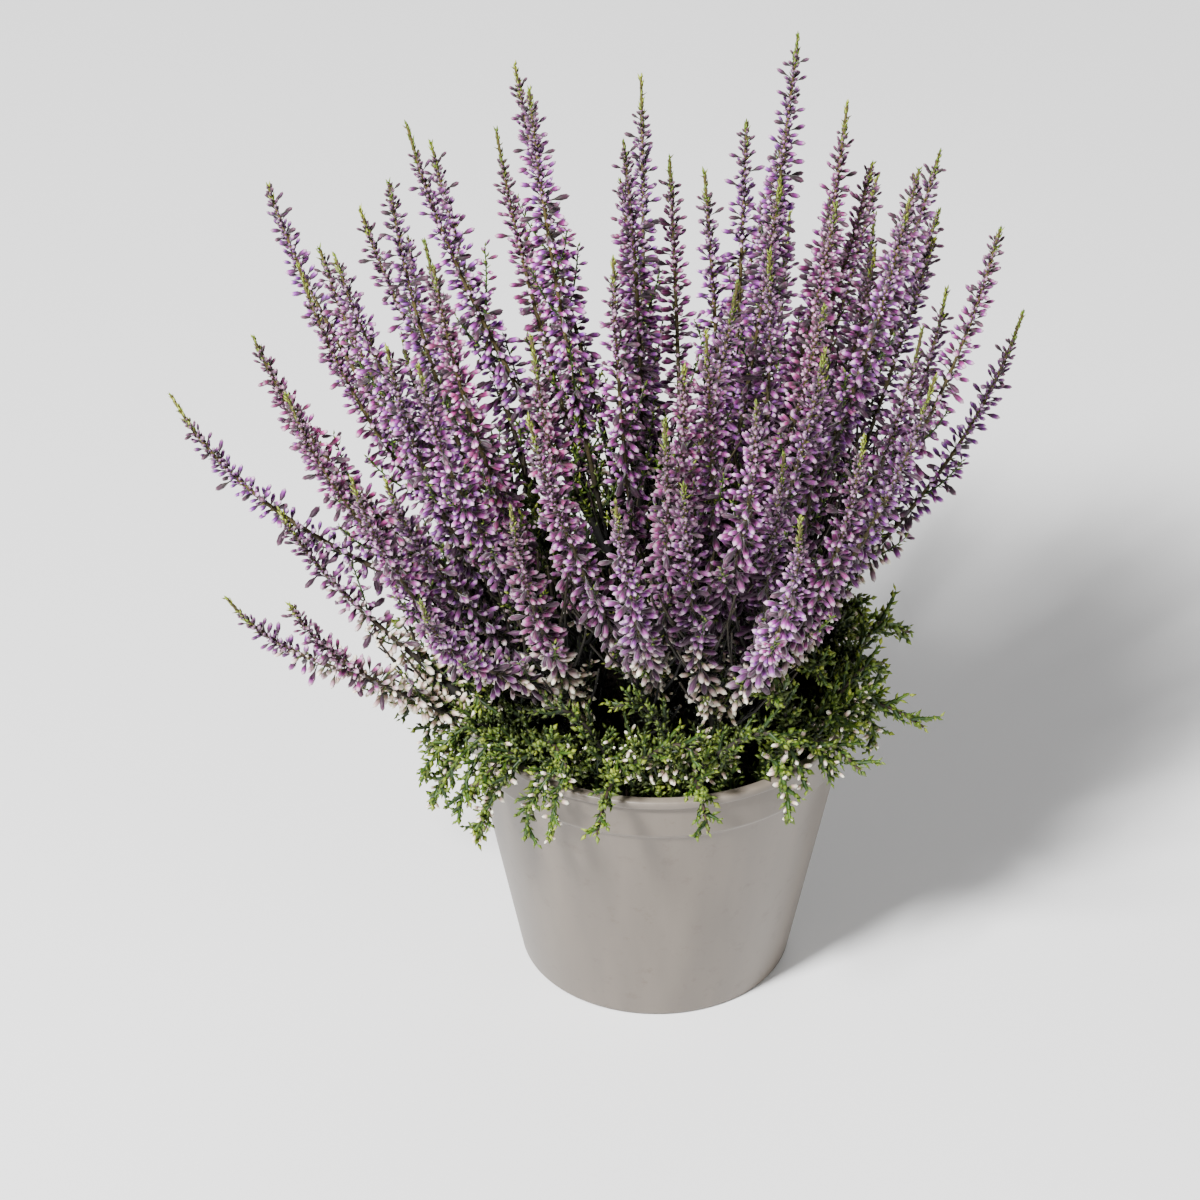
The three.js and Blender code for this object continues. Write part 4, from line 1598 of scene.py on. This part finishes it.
pins = bmesh.new()
pin_shape = {"radius1": DRAIN_RADIUS * MM, "radius2": DRAIN_RADIUS * MM, "depth": PIN_LENGTH * MM}
for i in range(DRAIN_HOLES):
    place = around(DRAIN_CIRCLE, i * 2 * math.pi / DRAIN_HOLES, PIN_MIDDLE) * MM
    pin = bmesh.ops.create_cone(pins, cap_ends=True, segments=PIN_SIDES, **pin_shape)
    bmesh.ops.translate(pins, verts=pin["verts"], vec=place)
drill = in_scene("drill", kept_mesh("drill", pins))
cut = pot_blank.modifiers.new("drain_holes", "BOOLEAN")
cut.object = drill
cut.operation = "DIFFERENCE"
cut.solver = "EXACT"
drilled = plain_mesh(pot_blank)
bpy.data.objects.remove(drill)
print("Faces of the drilled pot:", len(drilled.polygons))

# %% [markdown]
# ## Finish of the pot
#
# The pot is warm grey plastic with a satin skin. Its grey is painted darker than the plastic's own,
# as shade from the foliage above it. Real plastic of this kind is never one even colour: the flow
# in the mould leaves faint upright streaks, the top edge is paler in patches, and splashes of soil
# leave a thin stain inside and under the collar.


# %% The pot's finish
PALER_TOP_FROM = 0.0808
PALER_TOP_TO = 0.0822


def pot_finish():
    """Grey plastic, darker than its own grey as painted shade, with streaks, paler in patches
    between two heights in metres, and with stains of soil.
    """
    material, recipe, shader, place = new_finish("pot_plastic_grey")
    feeds = {"Vector": place, "Scale": (90.0, 90.0, 8.0)}
    stretched = recipe.add("ShaderNodeMapping", feeds).outputs[0]
    streaks = patches(recipe, stretched, 1.0, detail=3.0)
    # Partly the plastic's own warm grey and partly painted shade: it is set darker than the plastic
    # is.
    colour = ramp(recipe, streaks, *shades((0.3, (94, 86, 77)), (0.7, (108, 99, 89))))
    # Paler in patches along the top edge, between two heights.
    edge = stretch(recipe, height_of(recipe, place), PALER_TOP_FROM, PALER_TOP_TO)
    paler_top = recipe.sum("MULTIPLY", edge, patches(recipe, place, 300.0))
    colour = recipe.mix(paler_top, colour, paint(140, 130, 118))
    speckle = stretch(recipe, patches(recipe, place, 220.0, detail=6.0, roughness=0.7), 0.56, 0.7)
    dusty = recipe.sum("MULTIPLY", speckle, 0.35)
    colour = recipe.mix(dusty, colour, paint(72, 58, 44))
    coat(recipe, shader, colour, from_to(recipe, streaks, 0.36, 0.5))
    bumped(recipe, shader, patches(recipe, place, 1800.0), 0.12, 0.0001)
    return material


drilled.materials.append(pot_finish())
place_piece("plant_pot", drilled, "pot_plastic", "pot")
print("Triangles in the pot:", triangles(drilled))

# %% [markdown]
# ## Soil
#
# Potting soil is a loose mix of dark fibres and crumbs. Its top is a turned surface whose points
# are lifted by soft noise, and a third Geometry Nodes tree scatters crumbs over it. Most of it is
# hidden by the leaves, but the gaps between stems show it, and a smooth brown disc there would look
# like plastic.

# %% The root ball
# Its section, of radius and height in millimetres, follows the pot's inside at a small gap.
SOIL_SIDES = 96
SOIL_RINGS = 26
SOIL_LUMP = 0.9
COARSE_LUMPS = 90
FINE_LUMPS = 420
gap = WALL + 0.3
soil_edge = COLLAR_RADIUS - gap
top_rings = [(radius, SOIL_TOP) for radius in np.linspace(soil_edge - 2, 0, SOIL_RINGS)]
soil_section = [
    (0, 3.5), (FOOT_RADIUS - gap, 3.5), (49.5 - gap, 69.2), (soil_edge, 70.2),
    (soil_edge, SOIL_TOP - 1), *top_rings,
]
soil_mesh = turned_mesh("soil_blank", soil_section, SOIL_SIDES)
for vertex in soil_mesh.vertices:
    if vertex.co.z > (SOIL_TOP - 0.1) * MM:
        coarse = noise.noise(vertex.co * COARSE_LUMPS)
        fine = noise.noise(vertex.co * FINE_LUMPS)
        vertex.co.z += SOIL_LUMP * MM * (coarse + 0.5 * fine)
print("Faces of the root ball:", len(soil_mesh.polygons))

# %% One crumb
CRUMB_LUMP = 0.35
CRUMB_LUMPS = 900
crumb_maker = bmesh.new()
bmesh.ops.create_icosphere(crumb_maker, subdivisions=1, radius=1 * MM)
for vertex in crumb_maker.verts:
    vertex.co *= 1 + CRUMB_LUMP * noise.noise(vertex.co * CRUMB_LUMPS)
crumb_shape = in_scene("crumb_shape", kept_mesh("crumb_shape", crumb_maker))
shapes.append(crumb_shape)
print("Faces of a crumb:", len(crumb_shape.data.polygons))

# %% The tree that scatters crumbs
ANY_TURN = 3.1
crumbs_tree = bpy.data.node_groups.new("scattered_crumbs", "GeometryNodeTree")
crumbs_inputs = {"Geometry": "Geometry", "Shape": "Object", "Seed": "Int", "Material": "Material"}
for title in ("Above Height", "Within Radius", "Density", "Smallest", "Largest"):
    crumbs_inputs[title] = "Float"
name_sockets(crumbs_tree, crumbs_inputs)


def wire_crumbs(tree):
    recipe = Recipe(tree)
    given = recipe.add("NodeGroupInput").outputs
    position = recipe.add("GeometryNodeInputPosition").outputs[0]
    height = recipe.add("ShaderNodeSeparateXYZ", {0: position}).outputs[2]
    on_top = recipe.sum("GREATER_THAN", height, given["Above Height"])
    inside = recipe.sum("LESS_THAN", off_axis(recipe, position), given["Within Radius"])
    on_top = recipe.sum("MULTIPLY", on_top, inside)
    feeds = {0: given["Geometry"], 1: on_top, 4: given["Density"], 6: given["Seed"]}
    spots = recipe.add("GeometryNodeDistributePointsOnFaces", feeds).outputs[0]
    shape = recipe.add("GeometryNodeObjectInfo", {0: given["Shape"]}).outputs["Geometry"]
    whirl = {0: (-ANY_TURN,) * 3, 1: (ANY_TURN,) * 3, 8: given["Seed"]}
    spin = recipe.add("FunctionNodeRandomValue", whirl, data_type="FLOAT_VECTOR").outputs[0]
    feeds = {2: given["Smallest"], 3: given["Largest"], 8: given["Seed"]}
    size = recipe.add("FunctionNodeRandomValue", feeds, data_type="FLOAT").outputs[1]
    feeds = {0: spots, 2: shape, 5: spin, 6: size}
    crumbs = recipe.add("GeometryNodeInstanceOnPoints", feeds).outputs[0]
    both = recipe.add("GeometryNodeJoinGeometry")
    recipe.tree.links.new(given["Geometry"], both.inputs[0])
    recipe.tree.links.new(crumbs, both.inputs[0])
    real = recipe.add("GeometryNodeRealizeInstances", {0: both.outputs[0]}).outputs[0]
    feeds = {0: real, 2: given["Material"]}
    recipe.add("NodeGroupOutput", {0: recipe.add("GeometryNodeSetMaterial", feeds).outputs[0]})


wire_crumbs(crumbs_tree)
print("Nodes in the tree:", len(crumbs_tree.nodes))


# %% The soil's finish and the finished soil
def soil_finish():
    material, recipe, shader, place = new_finish("potting_soil_dark")
    crumbs = patches(recipe, place, 500.0, detail=6.0, roughness=0.7)
    damp = patches(recipe, place, 45.0)
    stops = shades((0.3, (28, 20, 15)), (0.6, (58, 42, 30)), (0.8, (98, 76, 54)))
    damp_share = recipe.sum("MULTIPLY", damp, 0.6)
    colour = recipe.mix(damp_share, ramp(recipe, crumbs, *stops), paint(26, 20, 16))
    coat(recipe, shader, colour, from_to(recipe, damp, 0.95, 0.7))
    bumped(recipe, shader, crumbs, 0.8, 0.0006)
    return material


soil_settings = {
    "Shape": crumb_shape,
    "Above Height": (SOIL_TOP - 1.5) * MM,
    "Within Radius": (soil_edge - 2.5) * MM,
    "Density": 90000.0,
    "Smallest": 0.5,
    "Largest": 1.6,
    "Seed": 5,
    "Material": soil_finish(),
}
crumbly_soil = run_tree(crumbs_tree, soil_mesh, soil_settings)
place_piece("crumbly_soil", crumbly_soil, "potting_soil", "soil")
print("Triangles in the soil:", triangles(crumbly_soil))

# %% [markdown]
# ## Tidy up and measure
#
# The small shapes that were copied are no longer needed on their own.

# %% Finish
import json

for shape in shapes:
    bpy.data.objects.remove(shape)
print("Pieces:", len(placed), "Triangles:", triangles_so_far())
